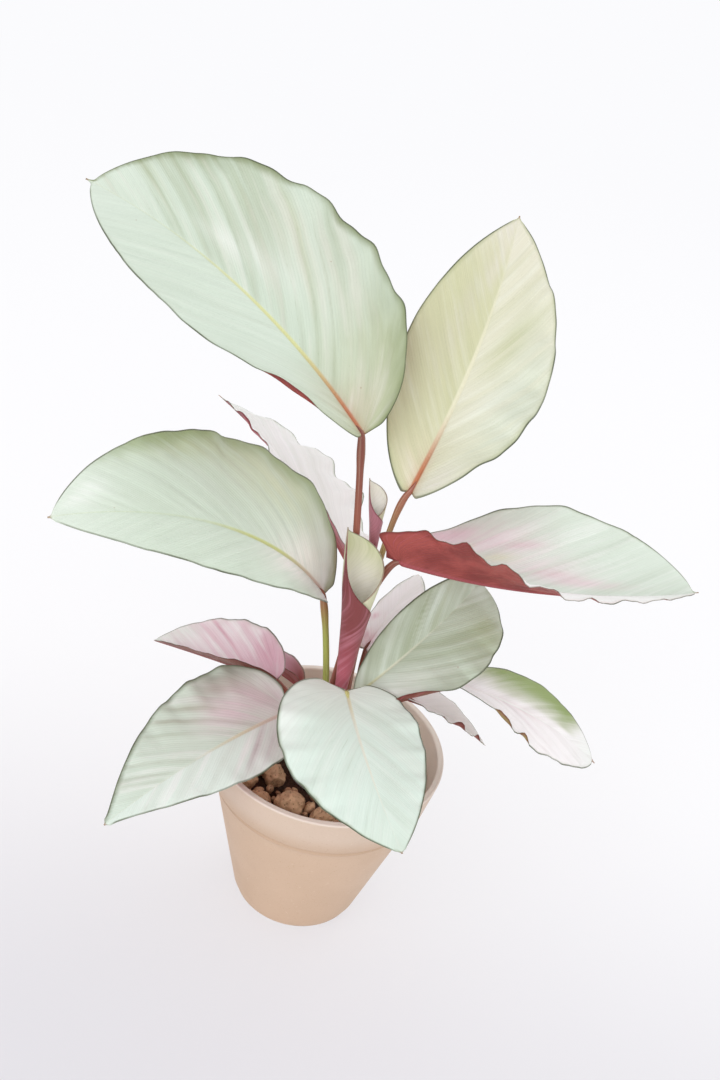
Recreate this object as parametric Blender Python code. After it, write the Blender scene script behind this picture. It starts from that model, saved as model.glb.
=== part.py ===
"""Potted calathea: a nursery pot of potting mix topped with lava stones, and a clump of stalked leaves.

Units are metres and degrees. +Z is up, and the origin is the centre of the pot's flat base.
"""

import math
from dataclasses import dataclass

import bmesh
import bpy
import numpy as np
from mathutils import Vector, noise

# --- Driving dimensions -------------------------------------------------------------------

POT_HEIGHT = 0.086
POT_RIM_RADIUS = 0.050
POT_LIP_WIDTH = 0.0028
POT_BAND_HEIGHT = 0.0188
POT_BAND_STEP = 0.0013
POT_BAND_FLARE = 0.0032
POT_BASE_RADIUS = 0.027
POT_BASE_ROUNDING = 0.0025
POT_WALL = 0.0018
POT_FLOOR = 0.0022
POT_SEGMENTS = 40
DRAIN_HOLE_COUNT = 5
DRAIN_HOLE_RADIUS = 0.003
DRAIN_HOLE_RING = 0.0155
DRAIN_HOLE_TURN = 40.5

FIT_GAP = 0.0003
SOIL_TOP = 0.0675
SOIL_CHAMFER = 0.002

CROWN_RADIUS = 0.0135
CROWN_HEIGHT = 0.0055
CROWN_SHOULDER = 0.003

BLADE_THICKNESS = 0.0008
BLADE_ROWS = 14
BLADE_COLUMNS = 4
BLADE_END_WIDTH = 0.0010
ROLL_ROWS = 12
ROLL_STEPS = 10
ROLL_END_WIDTH = 18

STEM_GAP = 0.0020
STEM_STEPS = 8
STEM_SIDE_RESOLUTION = 1

STONE_NOISE_SCALE = 1.1
STONE_NOISE_DEPTH = 0.16
STONE_FLATTENING = (1.0, 0.86, 0.78)
STONE_SUBDIVISIONS = 2


# --- Leaf descriptions --------------------------------------------------------------------


@dataclass
class Half:
    """One side of a blade: width, rise from the midrib at base and tip, roll, and share of the lobe."""

    width: float
    fold: float
    tip_fold: float
    curl: float = 0.0
    lobe_share: float = 1.0


@dataclass
class Blade:
    """An open blade. Its midrib starts at base, points along heading and pitch, and arches down."""

    name: str
    base: tuple
    heading: float
    pitch: float
    roll: float
    length: float
    arch: float
    left: Half
    right: Half
    sweep: float = 0.0
    twist: float = 0.0
    base_fullness: float = 0.55
    tip_fullness: float = 0.80
    lobe: float = 0.15
    fold_reach: float = 0.5


@dataclass
class Scroll:
    """A young blade still rolled round an upright axis, open at a slanting mouth near its tip."""

    name: str
    base: tuple
    height: float
    lean: tuple
    facing: float
    scale: float


@dataclass
class Stem:
    """The stalk of the leaf with the same name: it leaves the crown upwards and ends along top."""

    name: str
    foot: tuple
    top: tuple
    radius: float
    bend: float = 0.014


BLADES = [
    Blade(
        "high_left", (-0.0140, 0.0030, 0.2315), 156, 38, -11, 0.147, 34,
        left=Half(0.034, 28, 8, 14), right=Half(0.051, 25, 11, 0),
        sweep=2, twist=-21, base_fullness=0.58, tip_fullness=0.72, lobe=0.05,
    ),
    Blade(
        "high_right", (0.0090, 0.0080, 0.2100), 67, 48, 2, 0.123, 11,
        left=Half(0.028, 13, 6, -7), right=Half(0.031, 25, -6, -5),
        sweep=22, twist=3, base_fullness=0.70, tip_fullness=0.83, lobe=0.14,
    ),
    Blade(
        "mid_left", (-0.0155, -0.0030, 0.1615), 217, 54, -30, 0.128, 64,
        left=Half(0.020, 23, 5, 0), right=Half(0.039, 25, 2, -4),
        sweep=-12, twist=-3, base_fullness=0.58, tip_fullness=0.76, lobe=0.16,
    ),
    Blade(
        "back_left", (-0.0030, 0.0150, 0.1590), 133, 26, 35, 0.118, 30,
        left=Half(0.024, 29, 10, 0), right=Half(0.033, 0, 20, -5),
        base_fullness=0.53, tip_fullness=0.77,
    ),
    Blade(
        "mid_right", (0.0100, -0.0020, 0.1835), -5, -2, 6, 0.122, -8,
        left=Half(0.038, -9, 28, -2, lobe_share=0.3), right=Half(0.027, 93, 43, -12),
        sweep=29, base_fullness=0.53, tip_fullness=0.63, lobe=0.56, fold_reach=0.57,
    ),
    Blade(
        "inner_right", (0.0060, -0.0098, 0.1196), 27, 47, 25, 0.072, 21,
        left=Half(0.015, 12, 11, -3), right=Half(0.0265, 26, 16, 13),
        sweep=34, twist=20, base_fullness=0.69, tip_fullness=0.50, lobe=0.0,
    ),
    Blade(
        "small_back", (0.0065, 0.0100, 0.1305), 64, 33, -18, 0.044, 24,
        left=Half(0.0095, 12, 1, -13), right=Half(0.0125, 12, 4, -9),
        sweep=8, base_fullness=0.52, tip_fullness=0.75, lobe=0.20,
    ),
    Blade(
        "front", (0.0025, -0.0200, 0.1296), -75, 3, 0, 0.081, 15,
        left=Half(0.026, 8, 3, -16), right=Half(0.031, 13, -2, -9),
        sweep=16, twist=3, base_fullness=0.40, tip_fullness=0.80, lobe=0.21,
    ),
    Blade(
        "front_left", (-0.0185, -0.0120, 0.1065), 228, -1, -14, 0.0915, 17,
        left=Half(0.019, 13, 6, -12), right=Half(0.031, 15, 4, -13),
        sweep=6, twist=2, base_fullness=0.42, tip_fullness=1.00,
    ),
    Blade(
        "low_left", (-0.0270, 0.0080, 0.1050), 163, -5, -13, 0.060, 8,
        left=Half(0.013, 70, 57, -2), right=Half(0.023, 14, 10, -3),
        sweep=-4, base_fullness=0.53, tip_fullness=0.79, lobe=0.10,
    ),
    Blade(
        "low_right", (0.0440, 0.0070, 0.1254), 10, -11, -5, 0.080, 30,
        left=Half(0.0185, 9, 16, 0), right=Half(0.0225, 24, 1, -6),
        twist=9, base_fullness=0.60, tip_fullness=0.68, lobe=0.10,
    ),
    Blade(
        "small_right", (0.0280, 0.0040, 0.1145), 7, -13, -12, 0.0425, 28,
        left=Half(0.0125, 12, 12, 7), right=Half(0.0095, 17, 9, 1),
        twist=-3, base_fullness=0.50, tip_fullness=0.86, lobe=0.04,
    ),
    Blade(
        "small_left", (-0.0165, 0.0220, 0.0930), 150, 4, -12, 0.034, 10,
        left=Half(0.0110, 80, 60, 0), right=Half(0.0090, 40, 30, 0),
        base_fullness=0.50, tip_fullness=0.80, lobe=0.10,
    ),
]

SCROLLS = [
    Scroll("rolled_large", (0.0018, -0.0075, 0.1210), 0.077, (-0.050, 0.0), -8, 1.0),
    Scroll("rolled_small", (0.0005, 0.0120, 0.1710), 0.038, (-0.100, 0.0), -8, 0.46),
]

STEMS = [
    Stem("high_left", (0.0026, 0.0006), (-0.15, 0.0, 1.0), 0.0016),
    Stem("high_right", (0.0026, 0.0063), (0.55, 0.1, 1.0), 0.0013),
    Stem("mid_left", (-0.0048, -0.0020), (-0.13, 0.0, 1.0), 0.0017),
    Stem("back_left", (-0.0050, 0.0060), (-0.15, 0.3, 1.0), 0.0013),
    Stem("mid_right", (0.0068, 0.0036), (0.45, 0.0, 1.0), 0.0014),
    Stem("inner_right", (0.0068, -0.0068), (0.1, 0.1, 1.0), 0.0013),
    Stem("small_back", (0.0062, 0.0092), (0.0, 0.2, 1.0), 0.0011),
    Stem("front", (0.0028, -0.0100), (0.0, -0.4, 1.0), 0.0014),
    Stem("front_left", (-0.0065, -0.0075), (-0.7, -0.3, 1.0), 0.0013),
    Stem("low_left", (-0.0102, 0.0010), (-0.8, 0.2, 0.5), 0.0012),
    Stem("low_right", (0.0098, 0.0055), (0.95, 0.0, 0.15), 0.0013, bend=0.022),
    Stem("small_right", (0.0110, -0.0012), (0.7, 0.1, 0.4), 0.0010),
    Stem("small_left", (-0.0088, 0.0065), (-0.4, 0.5, 0.8), 0.0010),
    Stem("rolled_large", (-0.0005, -0.0055), (0.0, 0.0, 1.0), 0.0016),
    Stem("rolled_small", (-0.0008, 0.0050), (0.0, 0.0, 1.0), 0.0012),
]

# Centre and mean radius of each lava stone, seen from above.
STONES = [
    (-0.0300, -0.0185, 0.0056),
    (-0.0185, -0.0135, 0.0056),
    (-0.0225, -0.0295, 0.0052),
    (-0.0095, -0.0285, 0.0068),
    (0.0050, -0.0330, 0.0058),
    (0.0180, -0.0285, 0.0062),
    (0.0290, -0.0195, 0.0058),
    (0.0355, -0.0060, 0.0060),
    (0.0225, -0.0050, 0.0056),
    (0.0355, 0.0085, 0.0058),
    (0.0280, 0.0210, 0.0060),
    (0.0180, 0.0110, 0.0054),
    (0.0155, 0.0300, 0.0062),
    (0.0015, 0.0345, 0.0060),
    (-0.0120, 0.0330, 0.0060),
    (-0.0070, 0.0195, 0.0052),
    (-0.0245, 0.0255, 0.0062),
    (-0.0205, 0.0105, 0.0054),
    (-0.0335, 0.0130, 0.0056),
    (-0.0345, -0.0020, 0.0056),
]


# --- Materials ----------------------------------------------------------------------------


def make_material(name, colour, roughness):
    material = bpy.data.materials.new(name)
    material.use_nodes = True
    shader = material.node_tree.nodes["Principled BSDF"]
    shader.inputs["Base Color"].default_value = (*colour, 1.0)
    shader.inputs["Roughness"].default_value = roughness
    shader.inputs["Metallic"].default_value = 0.0
    return material


def make_materials():
    return {
        "pot": make_material("pot_plastic", (0.60, 0.47, 0.36), 0.55),
        "soil": make_material("potting_mix", (0.06, 0.035, 0.02), 0.95),
        "crown": make_material("crown_skin", (0.20, 0.16, 0.07), 0.8),
        "stone": make_material("lava_stone", (0.26, 0.13, 0.07), 0.95),
        "blade": make_material("leaf_silver", (0.52, 0.62, 0.50), 0.45),
        "rolled": make_material("leaf_underside", (0.32, 0.04, 0.09), 0.45),
        "stem": make_material("stem_red", (0.26, 0.08, 0.04), 0.5),
    }


# --- Mesh helpers -------------------------------------------------------------------------


def add_object(name, mesh, material):
    scene_object = bpy.data.objects.new(name, mesh)
    scene_object.data.materials.append(material)
    bpy.context.scene.collection.objects.link(scene_object)
    return scene_object


def mesh_from_bmesh(name, shape):
    shape.normal_update()
    bmesh.ops.recalc_face_normals(shape, faces=shape.faces)
    mesh = bpy.data.meshes.new(name)
    shape.to_mesh(mesh)
    shape.free()
    mesh.shade_smooth()
    mesh.set_sharp_from_angle(angle=math.radians(35))
    return mesh


def turned_mesh(name, profile, segments):
    """A closed solid of revolution about Z. Profile points on the axis become single poles."""
    shape = bmesh.new()
    rings = []
    for radius, height in profile:
        if radius == 0.0:
            rings.append([shape.verts.new((0.0, 0.0, height))])
            continue
        ring = []
        for step in range(segments):
            angle = 2.0 * math.pi * step / segments
            ring.append(shape.verts.new((radius * math.cos(angle), radius * math.sin(angle), height)))
        rings.append(ring)
    for lower, upper in zip(rings[:-1], rings[1:]):
        for step in range(segments):
            after = (step + 1) % segments
            corners = [lower[step % len(lower)], lower[after % len(lower)]]
            corners += [upper[after % len(upper)], upper[step % len(upper)]]
            shape.faces.new(list(dict.fromkeys(corners)))
    return mesh_from_bmesh(name, shape)


def sheet_mesh(name, points):
    """An open sheet through a grid of points, rows along the leaf and columns across it."""
    shape = bmesh.new()
    grid = [[shape.verts.new(point) for point in row] for row in points]
    for near, far in zip(grid[:-1], grid[1:]):
        for column in range(len(near) - 1):
            shape.faces.new((near[column], near[column + 1], far[column + 1], far[column]))
    mesh = bpy.data.meshes.new(name)
    shape.to_mesh(mesh)
    shape.free()
    mesh.shade_smooth()
    return mesh


def thicken(scene_object, thickness):
    solidify = scene_object.modifiers.new("Thickness", "SOLIDIFY")
    solidify.thickness = thickness
    solidify.offset = 0.0
    return scene_object


# --- Pot, soil and crown ------------------------------------------------------------------


def band_bottom():
    return POT_HEIGHT - POT_BAND_HEIGHT


def body_radius(height):
    """Outer radius of the tapered body below the rim band."""
    top = POT_RIM_RADIUS - POT_BAND_FLARE - POT_BAND_STEP
    return POT_BASE_RADIUS + (top - POT_BASE_RADIUS) * height / band_bottom()


def inner_radius(height):
    """Inner radius of the pot: the body's inside face, then the slightly wider rim band's."""
    return body_radius(height) - POT_WALL


def pot_profile():
    band = POT_RIM_RADIUS - POT_BAND_FLARE
    lip_inner = POT_RIM_RADIUS - POT_LIP_WIDTH
    edge = 0.0007
    return [
        (0.0, 0.0),
        (POT_BASE_RADIUS - POT_BASE_ROUNDING, 0.0),
        (POT_BASE_RADIUS - 0.3 * POT_BASE_ROUNDING, 0.3 * POT_BASE_ROUNDING),
        (body_radius(POT_BASE_ROUNDING), POT_BASE_ROUNDING),
        (body_radius(band_bottom()), band_bottom()),
        (band, band_bottom() + 0.0004),
        (POT_RIM_RADIUS, POT_HEIGHT - edge),
        (POT_RIM_RADIUS - edge, POT_HEIGHT),
        (lip_inner + edge, POT_HEIGHT),
        (lip_inner, POT_HEIGHT - edge),
        (band - POT_WALL, band_bottom() + 0.0024),
        (inner_radius(band_bottom()), band_bottom()),
        (inner_radius(POT_FLOOR), POT_FLOOR),
        (0.0, POT_FLOOR),
    ]


def drill_drain_holes(pot):
    for index in range(DRAIN_HOLE_COUNT):
        angle = math.radians(DRAIN_HOLE_TURN + 360.0 * index / DRAIN_HOLE_COUNT)
        shape = bmesh.new()
        bmesh.ops.create_cone(
            shape, cap_ends=True, segments=12, depth=4.0 * POT_FLOOR,
            radius1=DRAIN_HOLE_RADIUS, radius2=DRAIN_HOLE_RADIUS,
        )
        cutter = bpy.data.objects.new(f"drain_cutter_{index + 1}", mesh_from_bmesh("drain_cutter", shape))
        cutter.location = (DRAIN_HOLE_RING * math.cos(angle), DRAIN_HOLE_RING * math.sin(angle), POT_FLOOR / 2)
        cutter.hide_render = True
        cutter.display_type = "WIRE"
        bpy.context.scene.collection.objects.link(cutter)
        cut = pot.modifiers.new(f"Drain hole {index + 1}", "BOOLEAN")
        cut.operation = "DIFFERENCE"
        cut.object = cutter


def make_pot(material):
    pot = add_object("pot", turned_mesh("pot", pot_profile(), POT_SEGMENTS), material)
    drill_drain_holes(pot)
    return pot


def make_soil(material):
    bottom = POT_FLOOR + FIT_GAP
    gap = FIT_GAP * 1.5
    profile = [
        (0.0, bottom),
        (inner_radius(bottom) - gap, bottom),
        (inner_radius(SOIL_TOP - SOIL_CHAMFER) - gap, SOIL_TOP - SOIL_CHAMFER),
        (inner_radius(SOIL_TOP) - gap - SOIL_CHAMFER, SOIL_TOP),
        (0.0, SOIL_TOP),
    ]
    return add_object("soil", turned_mesh("soil", profile, POT_SEGMENTS), material)


def crown_top():
    return SOIL_TOP + FIT_GAP + CROWN_HEIGHT


def make_crown(material):
    bottom = SOIL_TOP + FIT_GAP
    profile = [
        (0.0, bottom),
        (CROWN_RADIUS, bottom),
        (CROWN_RADIUS, crown_top() - CROWN_SHOULDER),
        (CROWN_RADIUS - 0.5 * CROWN_SHOULDER, crown_top()),
        (0.0, crown_top()),
    ]
    return add_object("crown", turned_mesh("crown", profile, 16), material)


# --- Stones -------------------------------------------------------------------------------


def make_stone(index, centre_x, centre_y, radius, material):
    shape = bmesh.new()
    bmesh.ops.create_icosphere(shape, subdivisions=STONE_SUBDIVISIONS, radius=1.0)
    turn = math.radians(137.5 * index)
    for vertex in shape.verts:
        direction = vertex.co.normalized()
        bump = noise.noise(direction * STONE_NOISE_SCALE + Vector((7.3 * index, 0.0, 0.0)))
        size = radius * (1.0 + STONE_NOISE_DEPTH * bump)
        flat = Vector([part * squash for part, squash in zip(direction, STONE_FLATTENING)]) * size
        vertex.co = (
            flat.x * math.cos(turn) - flat.y * math.sin(turn),
            flat.x * math.sin(turn) + flat.y * math.cos(turn),
            flat.z,
        )
    lowest = min(vertex.co.z for vertex in shape.verts)
    name = f"stone_{index:02d}"
    stone = add_object(name, mesh_from_bmesh(name, shape), material)
    stone.location = (centre_x, centre_y, SOIL_TOP + FIT_GAP - lowest)
    return stone


# --- Leaf blades --------------------------------------------------------------------------


def smooth(value):
    value = np.clip(value, 0.0, 1.0)
    return value * value * (3.0 - 2.0 * value)


def midrib(blade, along):
    """Points of the midrib, with the tangent, upper normal and right-hand direction at each."""
    fine = np.linspace(0.0, 1.0, 201)
    pitch = np.radians(blade.pitch - blade.arch * fine)
    yaw = np.radians(blade.heading + blade.sweep * fine)
    roll = np.radians(blade.roll + blade.twist * fine)[:, None]
    tangent = np.stack([np.cos(pitch) * np.cos(yaw), np.cos(pitch) * np.sin(yaw), np.sin(pitch)], -1)
    level_up = np.stack([-np.sin(pitch) * np.cos(yaw), -np.sin(pitch) * np.sin(yaw), np.cos(pitch)], -1)
    level_right = np.cross(tangent, level_up)
    upper = level_up * np.cos(roll) + level_right * np.sin(roll)
    right = level_right * np.cos(roll) - level_up * np.sin(roll)
    steps = (tangent[1:] + tangent[:-1]) / 2.0 * blade.length / (len(fine) - 1)
    points = np.array(blade.base) + np.vstack([np.zeros(3), np.cumsum(steps, axis=0)])

    def sample(values):
        return np.stack([np.interp(along, fine, values[:, axis]) for axis in range(3)], -1)

    return sample(points), sample(tangent), sample(upper), sample(right)


def outline(blade, along):
    """Half-width of the blade as a fraction of its widest, from base (0) to tip (1)."""
    widest = blade.base_fullness / (blade.base_fullness + blade.tip_fullness)
    peak = widest**blade.base_fullness * (1.0 - widest) ** blade.tip_fullness
    return along**blade.base_fullness * (1.0 - along) ** blade.tip_fullness / peak


def blade_points(blade):
    """Grid of points on the blade: each half rises from the midrib at its fold and rolls by its curl."""
    even = np.linspace(0.0, 1.0, BLADE_ROWS)
    along = 0.5 * even + 0.25 * (1.0 - np.cos(math.pi * even))
    centre, tangent, upper, right = midrib(blade, along)
    share = outline(blade, along)
    across = np.linspace(-1.0, 1.0, 2 * BLADE_COLUMNS + 1)
    points = np.zeros((BLADE_ROWS, len(across), 3))
    for column, position in enumerate(across):
        half = blade.right if position >= 0.0 else blade.left
        reach = abs(position)
        width = np.maximum(share * half.width, BLADE_END_WIDTH)
        fold = half.fold + (half.tip_fold - half.fold) * smooth(along / blade.fold_reach)
        steps = (np.arange(8) + 0.5) / 8.0 * reach
        angle = np.radians(fold[:, None] + half.curl * steps[None, :] * share[:, None])
        out = np.cos(angle).mean(axis=1) * reach * width
        rise = np.sin(angle).mean(axis=1) * reach * width
        lobe = blade.lobe * half.lobe_share * half.width
        back = lobe * reach**1.6 * (1.0 - along) ** 3 * smooth(along / 0.02 + 0.35)
        points[:, column] = (
            centre
            + right * (math.copysign(1.0, position) * out)[:, None]
            + upper * rise[:, None]
            - tangent * back[:, None]
        )
    return points


def make_blade(blade, material):
    name = f"leaf_{blade.name}"
    leaf = add_object(name, sheet_mesh(name, blade_points(blade)), material)
    return thicken(leaf, BLADE_THICKNESS)


# --- Rolled leaves ------------------------------------------------------------------------

# Along the roll from its foot (0) to its tip (1): radius of the roll, how far the outer half
# wraps to one side of the midrib, and how far the inner half wraps to the other side.
ROLL_HEIGHTS = (0.00, 0.20, 0.45, 0.60, 0.68, 0.75, 0.83, 0.92, 1.00)
ROLL_RADII = (0.0022, 0.0034, 0.0051, 0.0062, 0.0068, 0.0072, 0.0078, 0.0088, 0.0098)
OUTER_WRAP = (190, 200, 200, 90, 50, 35, 24, 14, 0)
INNER_WRAP = (320, 330, 320, 285, 205, 150, 110, 62, 0)
MIDRIB_SIDE = 240.0
ROLL_TIGHTENING = 0.0014


def scroll_points(scroll):
    """Grid of points on a sheet that is wound round the axis, its inner half tighter than the outer."""
    along = np.linspace(0.0, 1.0, ROLL_ROWS)
    radius = np.interp(along, ROLL_HEIGHTS, ROLL_RADII) * scroll.scale
    outer = np.maximum(np.interp(along, ROLL_HEIGHTS, OUTER_WRAP), ROLL_END_WIDTH)
    inner = np.maximum(np.interp(along, ROLL_HEIGHTS, INNER_WRAP), ROLL_END_WIDTH)
    columns = 3 * ROLL_STEPS
    points = np.zeros((ROLL_ROWS, columns + 1, 3))
    for column in range(columns + 1):
        side = column / ROLL_STEPS - 2.0
        wrap = outer * side if side > 0.0 else inner * side / 2.0
        angle = np.radians(scroll.facing + MIDRIB_SIDE + wrap)
        tightening = ROLL_TIGHTENING * scroll.scale * np.clip(-wrap / 360.0, 0.0, 1.0)
        reach = radius - tightening
        points[:, column, 0] = scroll.base[0] + scroll.lean[0] * along * scroll.height + reach * np.cos(angle)
        points[:, column, 1] = scroll.base[1] + scroll.lean[1] * along * scroll.height + reach * np.sin(angle)
        points[:, column, 2] = scroll.base[2] + along * scroll.height
    return points


def make_scroll(scroll, material):
    name = f"leaf_{scroll.name}"
    leaf = add_object(name, sheet_mesh(name, scroll_points(scroll)), material)
    return thicken(leaf, BLADE_THICKNESS * (0.5 + 0.3 * scroll.scale))


# --- Stems --------------------------------------------------------------------------------


def make_stem(stem, material):
    """A round stalk on a Bezier curve, standing on the crown and stopping just short of its blade."""
    ends = {leaf.name: Vector(leaf.base) for leaf in BLADES + SCROLLS}
    foot = Vector((stem.foot[0], stem.foot[1], crown_top() + FIT_GAP))
    top_direction = Vector(stem.top).normalized()
    end = ends[stem.name] - top_direction * STEM_GAP
    reach = (end - foot).length / 3.0
    bend = min(stem.bend, reach)
    curve = bpy.data.curves.new(f"stem_{stem.name}", "CURVE")
    curve.dimensions = "3D"
    curve.bevel_depth = stem.radius
    curve.bevel_resolution = STEM_SIDE_RESOLUTION
    curve.use_fill_caps = True
    curve.resolution_u = STEM_STEPS
    spline = curve.splines.new("BEZIER")
    spline.bezier_points.add(1)
    first, last = spline.bezier_points
    for point in (first, last):
        point.handle_left_type = "FREE"
        point.handle_right_type = "FREE"
    first.co = foot
    first.handle_left = foot - Vector((0.0, 0.0, reach))
    first.handle_right = foot + Vector((0.0, 0.0, reach))
    last.co = end
    last.handle_left = end - top_direction * bend
    last.handle_right = end + top_direction * bend
    return add_object(f"stem_{stem.name}", curve, material)


# --- Assembly -----------------------------------------------------------------------------


def clear_scene():
    for scene_object in list(bpy.data.objects):
        bpy.data.objects.remove(scene_object, do_unlink=True)


def main():
    clear_scene()
    materials = make_materials()
    make_pot(materials["pot"])
    make_soil(materials["soil"])
    make_crown(materials["crown"])
    for index, (centre_x, centre_y, radius) in enumerate(STONES, start=1):
        make_stone(index, centre_x, centre_y, radius, materials["stone"])
    for blade in BLADES:
        make_blade(blade, materials["blade"])
    for scroll in SCROLLS:
        make_scroll(scroll, materials["rolled"])
    for stem in STEMS:
        make_stem(stem, materials["stem"])


main()
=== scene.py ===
"""Potted calathea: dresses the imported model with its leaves, stalks, lava stones, pot and a plain studio.

Units are metres and degrees. +Z is up, and the origin is the centre of the pot's flat base.
"""

import math
from dataclasses import dataclass

import bmesh
import bpy
import numpy as np
from mathutils import Matrix, Vector, noise


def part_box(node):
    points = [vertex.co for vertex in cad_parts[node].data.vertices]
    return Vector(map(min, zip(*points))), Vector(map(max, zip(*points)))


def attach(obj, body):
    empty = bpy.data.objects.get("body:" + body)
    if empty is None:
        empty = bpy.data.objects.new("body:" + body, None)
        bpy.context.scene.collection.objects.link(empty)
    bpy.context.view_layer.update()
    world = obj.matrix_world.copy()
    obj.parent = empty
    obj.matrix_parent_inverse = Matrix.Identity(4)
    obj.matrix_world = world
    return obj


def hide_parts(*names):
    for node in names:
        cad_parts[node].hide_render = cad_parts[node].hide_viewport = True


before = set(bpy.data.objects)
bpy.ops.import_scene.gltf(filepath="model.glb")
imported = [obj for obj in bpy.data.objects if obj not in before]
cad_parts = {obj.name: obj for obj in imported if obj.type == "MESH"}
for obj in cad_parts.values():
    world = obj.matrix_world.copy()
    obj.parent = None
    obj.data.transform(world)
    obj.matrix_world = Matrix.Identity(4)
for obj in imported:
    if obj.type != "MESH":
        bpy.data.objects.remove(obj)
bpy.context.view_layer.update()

bl_info = {
    "name": "Potted Calathea",
    "version": (1, 0, 0),
    "blender": (4, 5, 0),
    "location": "3D View > Sidebar > Calathea",
    "description": "Builds a potted calathea piece by piece round its packed frame",
    "category": "Add Mesh",
}

BODY = "root"

# --- Sizes that the frame gives ---

POT_LOW, POT_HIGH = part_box("pot")
SOIL_LOW, SOIL_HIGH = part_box("soil")
CROWN_LOW, CROWN_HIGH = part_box("crown")
STONE_NODES = sorted(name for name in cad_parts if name.startswith("stone_"))


def paint(code):
    """Linear RGB of a colour written as six hex digits."""
    levels = [int(code[start:start + 2], 16) / 255.0 for start in (0, 2, 4)]
    return tuple(level / 12.92 if level <= 0.04045 else ((level + 0.055) / 1.055) ** 2.4 for level in levels)


# --- Leaf shapes ---

GROWN_LENGTH = 0.12


@dataclass
class Half:
    """One side of a blade: width, rise from the midrib at base and tip, roll, and share of the lobe."""

    width: float
    fold: float
    tip_fold: float
    curl: float
    lobe_share: float = 1.0


@dataclass
class TurnUp:
    """A stretch of margin that turns over and shows its other face. Side is -1 left, 1 right.

    Centre and reach say which part of the blade's length turns, and start how far out the turn begins.
    """

    side: int
    centre: float
    reach: float
    start: float
    angle: float


@dataclass
class Wave:
    """Undulation of one margin: number of waves, height, where they start, how they fade to the tip."""

    count: float
    height: float
    phase: float = 0.0
    fade: float = 0.6


@dataclass
class Blade:
    """An open blade. Its midrib starts at base, points along heading and pitch, and arches down.

    Arch, sweep and twist are how much its pitch, heading and roll change along it, in degrees. Fullness
    is how fast it widens from the base and from the tip: more is slimmer. The waves are left, then right.
    Lobe is how far its base reaches back past the stalk, and tail how much of its tip is a thin point.
    The vein angles are those of the side veins to the midrib, at its base and at its tip.
    """

    name: str
    base: tuple
    heading: float
    pitch: float
    roll: float
    length: float
    arch: float
    left: Half
    right: Half
    fullness: tuple
    pleats: float
    waves: tuple
    sweep: float = 0.0
    twist: float = 0.0
    lobe: float = 0.15
    fold_reach: float = 0.5
    lobe_round: float = 0.02
    vein_angles: tuple = (48, 24)
    turns: tuple = ()
    tail: float = 0.012

    @property
    def size(self):
        """How big its midrib and pleats are, as a share of those on a full-grown blade."""
        return min(1.0, self.length / GROWN_LENGTH)


@dataclass
class Scroll:
    """A young blade still rolled round an upright axis, open at a slanting mouth near its tip.

    Outside and inside each hold two colours: from the foot up, and from the mouth's foot up.
    """

    name: str
    base: tuple
    height: float
    lean: tuple
    facing: float
    scale: float
    outside: tuple
    inside: tuple


@dataclass
class Stalk:
    """The stalk of the leaf with the same name, with its colours from foot to blade.

    Top is its direction where it meets the leaf, and bend how far below the leaf it turns that way.
    """

    name: str
    foot: tuple
    top: tuple
    radius: float
    colours: tuple
    bend: float = 0.014


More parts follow.
